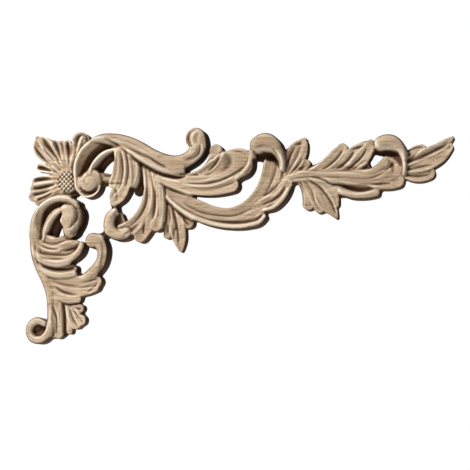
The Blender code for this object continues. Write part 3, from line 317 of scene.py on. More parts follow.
# Veins, creases and ribs that the knife left on the leaves: (x, z, half width) along the line.
# A depth above zero is a crease, below zero a raised rib.
veins = {
    # corner rosette
    "cornerPetalRib": (-1.04, [(-14.9, 18.8, 0.5), (-12.6, 15.2, 0.9), (-7.4, 9.8, 0.8),
        (-2, 4.2, 0.4)]),
    "cornerPetalHollow": (1.76, [(-12.4, 19.4, 0.6), (-9.4, 14.6, 1.3), (-5.6, 9.6, 0.8),
        (-3.4, 6.8, 0.4)]),
    "cornerPetalLeftHollow": (2.27, [(-16.2, 14.8, 0.5), (-13.2, 10.6, 1.1), (-7.6, 6.0, 0.5)]),
    "cornerStreakA": (1.89, [(-11.8, 14.2, 0.3), (-9.2, 11.4, 0.5), (-6.0, 8.4, 0.3)]),
    "cornerStreakB": (1.89, [(-9.6, 15.8, 0.3), (-7.2, 12.2, 0.5), (-4.4, 9.0, 0.3)]),
    "topFluteA": (2.8, [(-6.2, 16.8, 0.6), (-5.0, 12.9, 1.0), (-3.2, 8.6, 0.4)]),
    "topFluteB": (1.9, [(-3.0, 17.0, 0.3), (-2.4, 13.0, 0.55), (-1.5, 9.6, 0.3)]),
    "topFluteC": (2.8, [(-0.6, 17.4, 0.4), (-0.1, 13.8, 0.8), (0.6, 9.4, 0.35)]),
    "topFluteD": (2.03, [(1.7, 15.8, 0.3), (1.9, 12.8, 0.55), (2.0, 10.0, 0.3)]),
    "topFluteE": (2.29, [(3.5, 16.0, 0.4), (3.7, 13.0, 0.6), (3.2, 9.8, 0.3)]),
    "topPetalRib": (-1.17, [(7.2, 19.8, 0.3), (6.8, 17.6, 0.8), (5.9, 14.4, 0.6), (4.8, 11, 0.3)]),
    "topPetalDish": (1.3, [(5.0, 14.2, 0.4), (4.5, 17.0, 0.8), (5.4, 19.6, 0.8), (7.8, 20.6, 0.6),
        (9.8, 18.8, 0.8), (9.4, 16.2, 0.4)]),
    "leftDarkFlute": (2.6, [(-16.0, 5.9, 0.9), (-12.8, 5.2, 1.0), (-8.6, 3.8, 0.5)]),
    "leftHollowA": (2.97, [(-16.2, -0.3, 0.8), (-12.6, 0.1, 1.0), (-8.4, 0.0, 0.5)]),
    "leftRidge": (-0.65, [(-16.4, -2.6, 0.5), (-11.5, -2.1, 0.6), (-6.7, -1.8, 0.4)]),
    "leftHollowB": (2.56, [(-15.4, -4.6, 0.6), (-10.8, -3.8, 0.8), (-6.4, -3.1, 0.4)]),
    "leftHollowC": (2.56, [(-15.6, -7.4, 0.6), (-12, -6.5, 0.85), (-8.2, -5.5, 0.4)]),
    "leftHollowD": (1.76, [(-13.6, -9.9, 0.5), (-10, -8.4, 0.7), (-6.4, -6.6, 0.35)]),
    # upper scroll
    "scrollChannel": (4.4, [(25, 14.2, 1.0), (20.5, 14.3, 2.2), (15.9, 12.6, 3.0),
        (12.0, 9.5, 3.1), (9.6, 5.4, 2.6), (8.0, 1.0, 1.4)]),
    "scrollFloorLineA": (0.7, [(20.6, 13.6, 0.3), (15.8, 11.8, 0.5), (12.0, 8.0, 0.5),
        (10.4, 4.6, 0.3)]),
    "scrollInnerRidge": (-1.43, [(20.4, 13.2, 0.4), (16.8, 11.6, 0.6), (14.2, 8.6, 0.6),
        (12.7, 4.6, 0.4)]),
    "scrollEyeSpiral": (0.63, [(15.6, -0.6, 0.3), (13.6, 0.6, 0.5), (11.0, 0.0, 0.6),
        (10.2, -2.2, 0.6), (11.6, -3.8, 0.5), (13.2, -3.0, 0.3)]),
    "scrollEyeCrescent": (1.68, [(8.0, -4.8, 0.4), (9.8, -6.6, 0.6), (12.4, -7.0, 0.7),
        (15.2, -5.4, 0.6), (16.6, -3.2, 0.3)]),
    "neckHatchA": (1.12, [(18.0, -2.2, 0.3), (20.4, -2.8, 0.5), (23.2, -2.9, 0.4)]),
    "neckHatchB": (0.98, [(18.6, 1.6, 0.3), (20.6, 0.6, 0.5), (22.6, 0.8, 0.3)]),
    # upper stem
    "stemLongCrease": (0.98, [(22, 16.4, 0.3), (30, 13.9, 0.9), (37, 10.6, 0.9), (44, 7.2, 0.6),
        (49, 3.8, 0.3)]),
    "stemUpperCrease": (0.56, [(20, 18.2, 0.3), (28, 17.0, 0.8), (36, 13.9, 0.8),
        (43, 10.2, 0.3)]),
    "stemShadeLine": (0.84, [(42.4, 7.8, 0.3), (46.0, 5.4, 0.6), (50.4, 3.6, 0.4)]),
    "stemRootCrease": (1.26, [(20.4, 17.6, 0.4), (24.4, 15.6, 0.8), (28.4, 12.8, 0.7),
        (31.6, 10.4, 0.4)]),
    "ballHollow": (1.26, [(57.8, 7.6, 0.4), (62.0, 7.8, 1.0), (65.2, 10.4, 1.1),
        (65.6, 13.6, 0.5)]),
    "ballCrescent": (1.9, [(63.4, 21.0, 0.5), (60.8, 20.0, 1.0), (59.6, 17.8, 1.4),
        (60.2, 15.2, 1.1), (61.8, 13.2, 0.5)]),
    "ballFace": (0.7, [(65.2, 19.4, 0.4), (63.8, 17.0, 1.2), (64.6, 14.4, 0.5)]),
    # fluted leaf below the scroll
    "scrollLeafVeinA": (0.84, [(27.4, 11.6, 0.3), (28.3, 6, 0.5), (28.4, 0, 0.5),
        (27.0, -5, 0.3)]),
    "scrollLeafVeinB": (0.84, [(29.6, 12, 0.3), (31.0, 6, 0.4), (31.2, 1, 0.4),
        (30.0, -4.4, 0.3)]),
    "scrollLeafVeinC": (0.7, [(32.0, 9, 0.3), (33.2, 4.6, 0.45), (33.4, 0.4, 0.3)]),
    "scrollLeafHatch": (0.6, [(22.6, -3.2, 0.3), (25.4, -3.4, 0.5), (28.6, -3.2, 0.3)]),
    "scrollLeafTipVein": (0.7, [(24.2, -5.4, 0.3), (25.8, -8.4, 0.5), (25.6, -11.2, 0.3)]),
    # large falling leaf
    "fallLeafVeinA": (1.12, [(41.0, 3.4, 0.4), (42.6, -3, 0.6), (44.0, -9, 0.6),
        (44.0, -15.6, 0.6), (43.2, -20.4, 0.3)]),
    "fallLeafVeinB": (0.84, [(43.4, 0.6, 0.3), (45.0, -6, 0.5), (46.0, -12.4, 0.5),
        (46.0, -18.6, 0.3)]),
    "fallLeafVeinC": (0.84, [(38.8, 4, 0.3), (40.2, -5, 0.5), (39.8, -13, 0.6), (37, -18.6, 0.5),
        (33.0, -22.6, 0.3)]),
    "fallLeafVeinD": (0.84, [(41.4, -17.6, 0.3), (39.4, -21.6, 0.6), (39.0, -26.6, 0.4)]),
    "fallLeafVeinE": (0.7, [(36.4, -22.4, 0.3), (32.6, -25.8, 0.5), (30.2, -28.0, 0.3)]),
    "fallLeafSideLine": (1.4, [(47.6, -3.6, 0.3), (49.1, -9.5, 0.6), (49.4, -16.0, 0.7),
        (48.6, -22.4, 0.5)]),
    "curlGroove": (0.9, [(26.0, -16.6, 0.4), (25.4, -20.4, 0.6), (26.0, -24.0, 0.6),
        (28.6, -26.2, 0.3)]),
    "stemUnderLine": (2.0, [(32.3, 10.4, 0.4), (35, 7.4, 0.7), (40, 4.3, 0.8), (45, 1.5, 0.8),
        (50, -0.1, 0.8), (55, -0.9, 0.7), (58.6, -0.5, 0.4)]),
    "stemBackLine": (1.68, [(58.6, 2.8, 0.4), (63, 5.2, 0.8), (66.4, 8.2, 0.9),
        (68.0, 12.2, 0.5)]),
    "hoodOneShade": (2.0, [(93.0, 8.9, 0.8), (97, 8.6, 1.6), (100.6, 7.0, 1.4),
        (102.2, 3.6, 0.7)]),
    "hoodTwoShade": (1.8, [(147.4, 9.2, 0.8), (151, 8.8, 1.6), (155.0, 7.2, 1.6),
        (157.6, 3.2, 0.8)]),
    "hoodTwoFold": (1.12, [(152.0, 5.8, 0.4), (154.0, 3.0, 1.2), (154.4, 0.2, 0.6)]),
    # three lobed leaf
    "smallLeafVein": (1.12, [(51.8, -12, 0.3), (53.4, -19, 0.6), (54.8, -25.4, 0.7),
        (55.4, -31.0, 0.3)]),
    "smallLeafSide": (0.84, [(54.6, -16.4, 0.3), (57.6, -19.8, 0.5), (60.2, -22.8, 0.3)]),
    "smallLeafLeft": (0.84, [(50.6, -15.4, 0.3), (51.0, -21, 0.5), (50.2, -26, 0.3)]),
    "smallLeafStreak": (0.7, [(54.6, -22.8, 0.3), (53.2, -27.4, 0.5), (53.6, -30.8, 0.3)]),
    # leaf that points right
    "pointLeafVein": (1.54, [(57, -3.4, 0.3), (64, -4.1, 0.5), (71, -3.9, 0.65), (77, -2.1, 0.65),
        (82.6, 0.8, 0.5), (86, 3.4, 0.3)]),
    "pointLeafHollow": (1.26, [(77.4, 9.8, 0.8), (79.2, 7.0, 2.0), (78.4, 3.8, 1.4),
        (75.4, 1.6, 0.5)]),
    "pointLeafTopRim": (0.98, [(76.6, 10.4, 0.3), (80.6, 10.9, 0.6), (85.6, 10.3, 0.3)]),
    "pointLeafLobeLine": (1.12, [(76.2, 12.6, 0.3), (75.0, 9.4, 0.6), (72.8, 5.4, 0.5),
        (69.6, 1.8, 0.3)]),
    "pointLeafUnderLine": (1.8, [(46.5, -3.4, 0.3), (50.0, -5.2, 0.6), (54.5, -7.2, 0.7),
        (59.2, -8.9, 0.4)]),
    "pointLeafRimHollow": (0.7, [(62, -6.2, 0.4), (70, -6.6, 0.9), (77, -5.4, 0.9),
        (82, -3.6, 0.4)]),
    # long S stem
    "sStemCrease": (0.7, [(58, -12.6, 0.3), (66, -16.8, 0.6), (74, -18.6, 0.7), (82, -18.8, 0.7),
        (90, -15.6, 0.3)]),
    "sStemUnderLine": (1.4, [(49.4, -10.8, 0.3), (52.4, -14.0, 0.6), (56.4, -17.4, 0.7),
        (60.6, -20.2, 0.5)]),
    "sStemRimHollow": (1.4, [(71, -20.6, 0.3), (77, -21.8, 0.8), (84, -22.1, 0.9),
        (90, -21.2, 0.8), (95.4, -19.0, 0.3)]),
    "sStemLobeVeinA": (1.26, [(95, -13.9, 0.3), (99.2, -12.4, 0.6), (103.0, -9.8, 0.6),
        (105.6, -6.2, 0.3)]),
    "sStemLobeHollow": (1.12, [(95.6, -9.4, 0.6), (99.2, -8.2, 1.4), (102.2, -4.8, 1.0),
        (103.6, -1.0, 0.4)]),
    "sStemLobeVeinB": (0.84, [(98.6, -9.0, 0.3), (102.6, -6.4, 0.5), (105.0, -3.2, 0.3)]),
    "sStemRisingVein": (0.7, [(96.6, -8, 0.3), (99.6, -2, 0.6), (100.8, 4.6, 0.5),
        (100.4, 7.6, 0.3)]),
    "sStemEdgeLine": (1.4, [(100.4, 10.6, 0.4), (102.4, 7.2, 0.6), (103.8, 3.2, 0.7),
        (103.9, -1.6, 0.4)]),
    # first hood
    "hoodOneLine": (0.56, [(92.8, 12.0, 0.3), (96.2, 12.4, 0.6), (99.4, 11.4, 0.3)]),
    # leaf that points up
    "upLeafVeinA": (0.98, [(106.2, -0.4, 0.3), (109.0, 5.2, 0.6), (112.2, 12.6, 0.4)]),
    "upLeafVeinB": (1.26, [(107.4, -0.2, 0.3), (110.4, 2.8, 0.5), (113.2, 6.6, 0.3)]),
    "upLeafVeinC": (0.84, [(105.4, 1, 0.3), (107.0, 7, 0.5), (109.4, 12, 0.3)]),
    "upLeafVeinD": (1.26, [(109.4, 0.2, 0.3), (111.8, 1.9, 0.5), (114.0, 3.4, 0.3)]),
    "upLeafTip": (0.7, [(109.6, 13.0, 0.4), (111.4, 13.8, 0.8), (113.2, 13.4, 0.3)]),
    # leaf that points down
    "downLeafVeinA": (1.4, [(115.6, -3.0, 0.3), (120.2, -5.4, 0.6), (124.2, -9.6, 0.65),
        (127.2, -14.6, 0.5), (128.4, -18.0, 0.3)]),
    "downLeafVeinB": (0.98, [(114.4, -4.4, 0.3), (117.2, -7.4, 0.6), (118.9, -12.6, 0.3)]),
    "downLeafVeinC": (1.26, [(118.4, -2.0, 0.3), (123.2, -3.2, 0.55), (127.6, -6.2, 0.3)]),
    "downLeafVeinD": (0.7, [(112.6, -5.6, 0.3), (113.6, -9.6, 0.5), (113.8, -13.8, 0.3)]),
    # right arm
    "armBandCreaseA": (0.7, [(108, -2.6, 0.3), (120, -1.6, 0.6), (134, -2.4, 0.6),
        (146, -2.4, 0.6), (152, 1.0, 0.3)]),
    "armBandCreaseB": (0.7, [(130, -3.2, 0.3), (138, -4.0, 0.6), (146, -3.9, 0.6),
        (152.4, -2.8, 0.3)]),
    "armBandCreaseC": (0.56, [(146, -0.6, 0.3), (150.4, 1.4, 0.6), (154.6, 4.6, 0.3)]),
    "armTopCrease": (0.84, [(115, 1.2, 0.3), (125, 0.9, 0.5), (136, 0.6, 0.5),
        (141.6, -0.4, 0.3)]),
    "armLobeVeinA": (1.26, [(122.6, 1.8, 0.3), (126.6, 4.4, 0.5), (129.0, 6.6, 0.5),
        (131.2, 10.0, 0.3)]),
    "armLobeVeinB": (1.12, [(129.4, 2.4, 0.3), (133.6, 5.4, 0.6), (136.6, 9.6, 0.3)]),
    "armLobeVeinC": (1.26, [(134.2, 1.8, 0.3), (137.4, 4.4, 0.6), (140.4, 7.4, 0.5),
        (142.2, 10.6, 0.3)]),
    "armLobeShade": (1.12, [(126.4, 2.0, 0.5), (130.6, 2.6, 1.3), (135.4, 2.0, 1.2),
        (140.2, 2.2, 0.5)]),
    "armLobeRimB": (0.98, [(135.6, 10.2, 0.3), (138.2, 11.4, 0.6), (141.0, 11.9, 0.3)]),
    "armLobeHatchA": (0.7, [(124.6, 1.6, 0.3), (128.4, 4.0, 0.4), (132.4, 8.4, 0.3)]),
    "armLobeHatchB": (0.7, [(136.4, 1.6, 0.3), (139.4, 3.8, 0.4), (142.4, 5.6, 0.3)]),
    "armChannelLine": (1.54, [(129.6, -4.6, 0.3), (133.6, -6.6, 0.8), (139.6, -7.9, 1.0),
        (145.4, -7.0, 0.4)]),
    "armLowerVein": (0.98, [(139, -5.2, 0.3), (146, -5.4, 0.5), (153.0, -5.2, 0.3)]),
    "armShoulderStreak": (0.84, [(150.6, 0.8, 0.3), (153.2, 2.2, 0.5), (155.2, 4.2, 0.3)]),
    # end leaf
    "endLeafVeinA": (1.7, [(159.8, 4.4, 0.6), (166.4, 6.2, 1.4), (172.0, 8.8, 1.4),
        (176.6, 10.9, 1.1), (179.8, 12.8, 0.4)]),
    "endLeafVeinB": (0.98, [(161.4, 5.6, 0.3), (164.2, 7.6, 0.5), (166.0, 9.6, 0.3)]),
    "endLeafVeinC": (0.7, [(160.6, 0.6, 0.3), (166.4, 1.9, 0.6), (172.0, 3.0, 0.3)]),
    "endLeafVeinD": (0.7, [(160.6, -1.6, 0.3), (165.4, -2.0, 0.6), (170.2, -1.4, 0.3)]),
    "endLeafLobeRim": (0.98, [(161.6, 9.4, 0.3), (164.4, 10.6, 0.5), (167.6, 11.2, 0.3)]),
    # lower scroll
    "lowerChannel": (2.6, [(3.4, -12.6, 0.8), (-1.4, -12.4, 1.4), (-6.2, -13.6, 1.9),
        (-9.8, -16.6, 2.2), (-11.4, -21.0, 1.8), (-11.6, -25.4, 0.8)]),
    "lowerRidgeLine": (1.26, [(-3.2, -15.2, 0.4), (-6.4, -17.8, 0.6), (-9.0, -22.0, 0.5),
        (-9.4, -26.0, 0.3)]),
    "lowerInnerRidge": (-0.78, [(-3.4, -16.4, 0.4), (-6.0, -19.0, 0.6), (-7.8, -23.2, 0.6),
        (-8.0, -26.4, 0.4)]),
    "lowerEyeEdge": (1.26, [(4.4, -12.8, 0.4), (6.6, -16.0, 0.8), (6.2, -20.6, 0.9),
        (3.6, -24.0, 0.5)]),
    "lowerEyeFall": (2.6, [(8.0, -12.6, 1.0), (9.9, -17.4, 2.3), (9.0, -22.8, 2.1),
        (5.4, -26.4, 1.0)]),
    "leftStemLine": (0.56, [(-11.0, -44.4, 0.3), (-13.2, -36.6, 0.5), (-13.4, -30.0, 0.3)]),
    # cup leaf and the leaves under it
    "cupLipLine": (1.26, [(-12.0, -28.6, 0.3), (-8.4, -30.9, 0.55), (-3.8, -31.4, 0.6),
        (0.4, -30.0, 0.3)]),
    "cupLeafVeinA": (0.84, [(-10.6, -32.2, 0.3), (-7, -33.4, 0.55), (-2.0, -34.0, 0.3)]),
    "cupLeafHollow": (1.26, [(-1.0, -34.4, 0.5), (3.4, -33.6, 1.4), (6.8, -32.4, 1.1),
        (8.2, -31.4, 0.5)]),
    "cupLeafVeinB": (0.7, [(-9.6, -35.4, 0.3), (-3, -36.4, 0.5), (3.4, -36.0, 0.5),
        (6.6, -34.4, 0.3)]),
    "cupLeafVeinC": (0.98, [(-10.4, -37.6, 0.3), (-4, -38.4, 0.6), (1.6, -38.2, 0.5),
        (5.6, -36.6, 0.3)]),
    "underLeafVein": (0.98, [(-9.6, -41.8, 0.3), (-4, -43.0, 0.6), (1.2, -43.2, 0.5),
        (5.0, -42.6, 0.3)]),
    "tongueVeinA": (0.7, [(-5, -48.4, 0.3), (1, -50.4, 0.6), (9, -51.6, 0.7), (16, -50.6, 0.3)]),
    "tongueVeinB": (1.12, [(-3.0, -51.6, 0.4), (0.6, -53.8, 0.8), (4.4, -54.9, 0.8),
        (8.2, -55.0, 0.3)]),
    "tongueVeinC": (0.7, [(12.6, -53.6, 0.3), (15.2, -51.8, 0.5), (17.2, -49.4, 0.3)]),
    "tongueUnderLine": (1.6, [(-1.4, -58.0, 0.3), (2.0, -59.3, 0.6), (7.0, -59.2, 0.6),
        (9.2, -58.8, 0.3)]),
    "tongueCurlLine": (0.84, [(17.4, -46.4, 0.4), (19.4, -41.4, 0.8), (20.4, -35.6, 0.8),
        (19.4, -31.0, 0.4)]),
    # foot
    "footStemVeinA": (1.26, [(-4.4, -60.8, 0.3), (-3.2, -64.0, 0.6), (-2.4, -69.0, 0.5),
        (-2.6, -73.0, 0.3)]),
    "footStemVeinB": (0.84, [(-6.4, -59.6, 0.3), (-6.3, -64.6, 0.5), (-6.4, -69.0, 0.3)]),
    "footStemVeinC": (0.7, [(-1.0, -62.4, 0.3), (-0.9, -67.0, 0.5), (-1.2, -71.4, 0.3)]),
    "footGap": (1.4, [(1.0, -60.6, 0.6), (1.1, -66, 0.8), (1.2, -72, 0.8), (1.8, -75, 0.5)]),
    "footVeinA": (0.98, [(3.2, -60.6, 0.3), (5.0, -65.4, 0.6), (7.6, -69.6, 0.3)]),
    "footVeinB": (0.84, [(5, -62.0, 0.3), (8.0, -65.2, 0.5), (10.2, -68.2, 0.3)]),
    "footVeinC": (0.7, [(4.2, -60.8, 0.3), (8.6, -61.6, 0.5)]),
    "footNotch": (1.6, [(10.8, -63.8, 0.6), (9.8, -63.9, 0.6), (8.8, -64.2, 0.3)]),
    "footBowlFloor": (-0.8, [(-12.8, -70.8, 2.4), (-12.2, -73.2, 2.4)]),
}

# The seed bed in the heart of the rosette, cut crosswise so that small beads stand up.
seedBed = {
    "centre": (0.4, -1.7),
    "radii": (4.7, 4.9),
    "rim": 1.12,             # where the cuts end, as a share of the radii
    "fade": 0.25,            # share over which they run out
    "pitch": 1.6,            # distance between the crossing cuts
    "share": 0.42,           # part of the pitch that a cut takes
    "taper": 1.5,            # how much steeper a cut gets towards its bottom
    "depth": 1.0,
    "single": 0.55,          # share of the depth where one cut runs, and more where two cross
    "crossed": 0.7,
}


def smoothPath(stations, step):
    # points on the smooth curve through the stations, about step apart
    points = np.asarray(stations, float)
    chords = np.hypot(*np.diff(points[:, :2], axis=0).T)
    slopes = np.diff(points, axis=0) / chords[:, None]
    tangents = np.empty_like(points)
    tangents[0] = slopes[0]
    tangents[-1] = slopes[-1]
    if len(points) > 2:
        near = chords[:-1, None]
        far = chords[1:, None]
        tangents[1:-1] = (slopes[:-1] * far + slopes[1:] * near) / (near + far)
        tangents[0] = 2 * slopes[0] - tangents[1]
        tangents[-1] = 2 * slopes[-1] - tangents[-2]
    pieces = []
    for i, chord in enumerate(chords):
        count = max(int(math.ceil(chord / step)), 1)
        t = (np.arange(count) / count)[:, None]
        pieces.append((2 * t**3 - 3 * t**2 + 1) * points[i]
                      + (t**3 - 2 * t**2 + t) * chord * tangents[i]
                      + (3 * t**2 - 2 * t**3) * points[i + 1]
                      + (t**3 - t**2) * chord * tangents[i + 1])
    pieces.append(points[-1:])
    return np.concatenate(pieces)


def nearestOnPath(path, x, z):
    # for each point: distance to the path, the path's other values there, the run along it,
    # and how far to one side of it the point lies
    best = np.full(x.shape, np.inf)
    values = [np.zeros(x.shape) for _ in range(path.shape[1] - 2)]
    along = np.zeros(x.shape)
    aside = np.zeros(x.shape)
    run = 0.0
    for start, end in zip(path[:-1], path[1:]):
        step = end - start
        length = math.hypot(step[0], step[1])
        t = ((x - start[0]) * step[0] + (z - start[1]) * step[1]) / length**2
        t = np.clip(t, 0, 1)
        distance = np.hypot(x - start[0] - t * step[0], z - start[1] - t * step[1])
        closer = distance < best
        best = np.where(closer, distance, best)
        along = np.where(closer, run + t * length, along)
        across = ((z - start[1]) * step[0] - (x - start[0]) * step[1]) / length
        aside = np.where(closer, across, aside)
        for k, value in enumerate(values):
            values[k] = np.where(closer, start[k + 2] + t * step[k + 2], value)
        run += length
    return best, values, along, aside


def window(path, reach, xs, zs):
    # the part of the grid that a stroke can touch
    i0, i1 = np.searchsorted(xs, (path[:, 0].min() - reach, path[:, 0].max() + reach))
    j0, j1 = np.searchsorted(zs, (path[:, 1].min() - reach, path[:, 1].max() + reach))
    return np.s_[j0:j1, i0:i1]


def blurred(field, sigma):
    # Gaussian blur, sigma in grid steps
    size = int(math.ceil(3 * sigma))
    weights = np.exp(-0.5 * (np.arange(-size, size + 1) / sigma) ** 2)
    weights /= weights.sum()
    for axis in (0, 1):
        padding = [(0, 0), (0, 0)]
        padding[axis] = (size, size)
        padded = np.pad(field, padding, mode="edge")
        out = np.zeros_like(field)
        for k, weight in enumerate(weights):
            cut = [slice(None), slice(None)]
            cut[axis] = slice(k, k + field.shape[axis])
            out += weight * padded[tuple(cut)]
        field = out
    return field


def blurredWithin(field, within, sigma):
    # the same blur, but only of what lies within the outline
    return (blurred(np.where(within, field, 0), sigma)
            / np.maximum(blurred(within.astype(float), sigma), board["leastShare"]))


def carveStrokes(xs, zs):
    # height of the carving, and how far inside the outline each grid point lies
    gridX, gridZ = np.meshgrid(xs, zs)
    height = np.full(gridX.shape, board["uncarved"])
    inside = np.full(gridX.shape, board["uncarved"])
    for hollow, stations in strokes.values():
        path = smoothPath(stations, board["strokeStep"])
        area = window(path, path[:, 2].max() + board["strokeReach"], xs, zs)
        distance, (half, edge), along, aside = nearestOnPath(path, gridX[area], gridZ[area])
        half = np.maximum(half, board["narrowest"])
        share = np.minimum(distance / half, 1)
        top = edge - hollow * (1 - share**2)
        roll = np.clip((distance - half + board["edgeBand"]) / board["edgeBand"], 0, 1)
        top -= board["edgeDrop"] * roll**2
        if hollow != 0:
            # the gouge's marks, each stroke with its own start
            start = stations[0][0]
            swell = 0.5 + 0.5 * np.sin(2 * math.pi * along / board["toolFade"] + start)
            marks = 1 - np.abs(np.sin(math.pi * aside / board["toolPitch"] + start))
            top -= board["toolDepth"] * marks * (1 - board["toolVary"] * (1 - swell))
        top -= board["sideFall"] * np.maximum(distance - half, 0)
        height[area] = np.maximum(height[area], top)
        inside[area] = np.maximum(inside[area], half - distance)
    return height, inside


def cutVeins(height, xs, zs):
    gridX, gridZ = np.meshgrid(xs, zs)
    for depth, stations in veins.values():
        path = smoothPath(stations, board["strokeStep"])
        area = window(path, board["veinReach"], xs, zs)
        distance, (half,) = nearestOnPath(path, gridX[area], gridZ[area])[:2]
        share = half / path[:, 2].max()
        half = np.maximum(half, board["narrowVein"])
        height[area] -= depth * share * np.exp(-(distance / half) ** 2)
    return height


def cutSeeds(height, xs, zs):
    # two rows of parallel cuts, square to each other and slanted by 45 degrees
    gridX, gridZ = np.meshgrid(xs, zs)
    dx = gridX - seedBed["centre"][0]
    dz = gridZ - seedBed["centre"][1]
    away = np.hypot(dx / seedBed["radii"][0], dz / seedBed["radii"][1])
    fade = np.clip((seedBed["rim"] - away) / seedBed["fade"], 0, 1)
    cuts = []
    for sign in (-1, 1):
        run = (dx + sign * dz) / math.sqrt(2) / seedBed["pitch"]
        wave = np.abs(run % 1 - 0.5)
        cuts.append(np.clip(1 - wave / seedBed["share"], 0, 1) ** seedBed["taper"])
    deep = np.maximum(*cuts) * seedBed["single"] + cuts[0] * cuts[1] * seedBed["crossed"]
    return height - seedBed["depth"] * fade * deep


def softened(height, inside, step):
    # sanding: the arrises are rounded, most of all above a tall drop and along the outline
    solid = inside > 0
    for _ in range(board["runOn"]):
        height = np.where(solid, height, blurredWithin(height, solid, board["runOnBlur"]))
        solid = solid | (blurred(solid.astype(float), board["runOnBlur"]) > board["runOnShare"])
    soft = blurredWithin(height, solid, board["softDrop"] / step)
    least, most = board["tallDrop"]
    share = np.clip((np.abs(soft - height) - least) / (most - least), 0, 1)
    height = height + share * (soft - height)
    height = blurredWithin(height, solid, board["softEdge"] / step)
    return height - board["rimDrop"] * np.clip(1 - inside / board["rimBand"], 0, 1) ** 2


def outlineGrid(inside, xs, zs):
    # triangles of the carved face, trimmed to the outline; grid points close to it move onto it
    rows, columns = inside.shape
    step = board["gridStep"]
    gridX, gridZ = np.meshgrid(xs, zs)
    slopeZ, slopeX = np.gradient(inside, step)
    steep = np.maximum(slopeX**2 + slopeZ**2, board["leastSteep"])
    near = np.abs(inside) < board["snap"] * step * np.sqrt(steep)
    placeX = np.where(near, gridX - inside * slopeX / steep, gridX).ravel()
    placeZ = np.where(near, gridZ - inside * slopeZ / steep, gridZ).ravel()
    state = np.where(near, 0, np.sign(inside)).astype(int).ravel()
    value = inside.ravel()
    index = np.arange(rows * columns).reshape(rows, columns)
    a = index[:-1, :-1].ravel()
    b = index[:-1, 1:].ravel()
    c = index[1:, 1:].ravel()
    d = index[1:, :-1].ravel()
    even = ((np.arange(rows - 1)[:, None] + np.arange(columns - 1)) % 2 == 0).ravel()
    first = np.where(even[:, None], np.stack([a, b, c], 1), np.stack([a, b, d], 1))
    second = np.where(even[:, None], np.stack([a, c, d], 1), np.stack([b, c, d], 1))
    triangles = np.concatenate([first, second])
    states = state[triangles]
    someIn = (states > 0).any(1)
    whole = someIn & (states >= 0).all(1)
    faces = [tuple(face) for face in triangles[whole]]
    points = [(x, z) for x, z in zip(placeX, placeZ)]
    crossings = {}
    for corners in triangles[someIn & ~whole]:
        polygon = []
        for k in range(3):
            p = corners[k]
            q = corners[(k + 1) % 3]
            if state[p] >= 0:
                polygon.append(p)
            if state[p] * state[q] < 0:
                low, high = min(p, q), max(p, q)
                if (low, high) not in crossings:
                    t = value[low] / (value[low] - value[high])
                    t = min(max(t, board["crossing"]), 1 - board["crossing"])
                    crossings[low, high] = len(points)
                    points.append((placeX[low] * (1 - t) + placeX[high] * t,
                                   placeZ[low] * (1 - t) + placeZ[high] * t))
                polygon.append(crossings[low, high])
        for k in range(1, len(polygon) - 1):
            faces.append((polygon[0], polygon[k], polygon[k + 1]))
    faces = np.array(faces)
    used = np.unique(faces)
    renumber = np.full(len(points), -1)
    renumber[used] = np.arange(len(used))
    return np.array(points)[used], renumber[faces]


def sampled(field, points, xs, zs):
    # the field read between the grid points
    step = board["gridStep"]
    beforeEnd = 1.001        # keeps the last point within the last cell
    column = np.clip((points[:, 0] - xs[0]) / step, 0, len(xs) - beforeEnd)
    row = np.clip((points[:, 1] - zs[0]) / step, 0, len(zs) - beforeEnd)
    i = column.astype(int)
    j = row.astype(int)
    u = column - i
    v = row - j
    return ((field[j, i] * (1 - u) + field[j, i + 1] * u) * (1 - v)
            + (field[j + 1, i] * (1 - u) + field[j + 1, i + 1] * u) * v)


def outlineEdges(faces):
    # directed edges that only one face uses
    edges = np.concatenate([faces[:, [0, 1]], faces[:, [1, 2]], faces[:, [2, 0]]])
    keys = np.sort(edges, axis=1)
    order, counts = np.unique(keys, axis=0, return_counts=True)
    single = {tuple(key) for key in order[counts == 1]}
    return [tuple(edge) for edge, key in zip(edges, keys) if tuple(key) in single]


def smoothRim(flat, rim):
    # evens out the outline: each of its points moves towards the middle of its two neighbours
    starts, ends = np.array(rim).T
    for _ in range(board["rimPasses"]):
        total = np.zeros_like(flat)
        count = np.zeros(len(flat))
        for near, far in ((starts, ends), (ends, starts)):
            np.add.at(total, near, flat[far])
            np.add.at(count, near, 1)
        moved = count > 0
        middle = total[moved] / count[moved, None]
        flat[moved] += board["rimSmooth"] * (middle - flat[moved])
    return flat


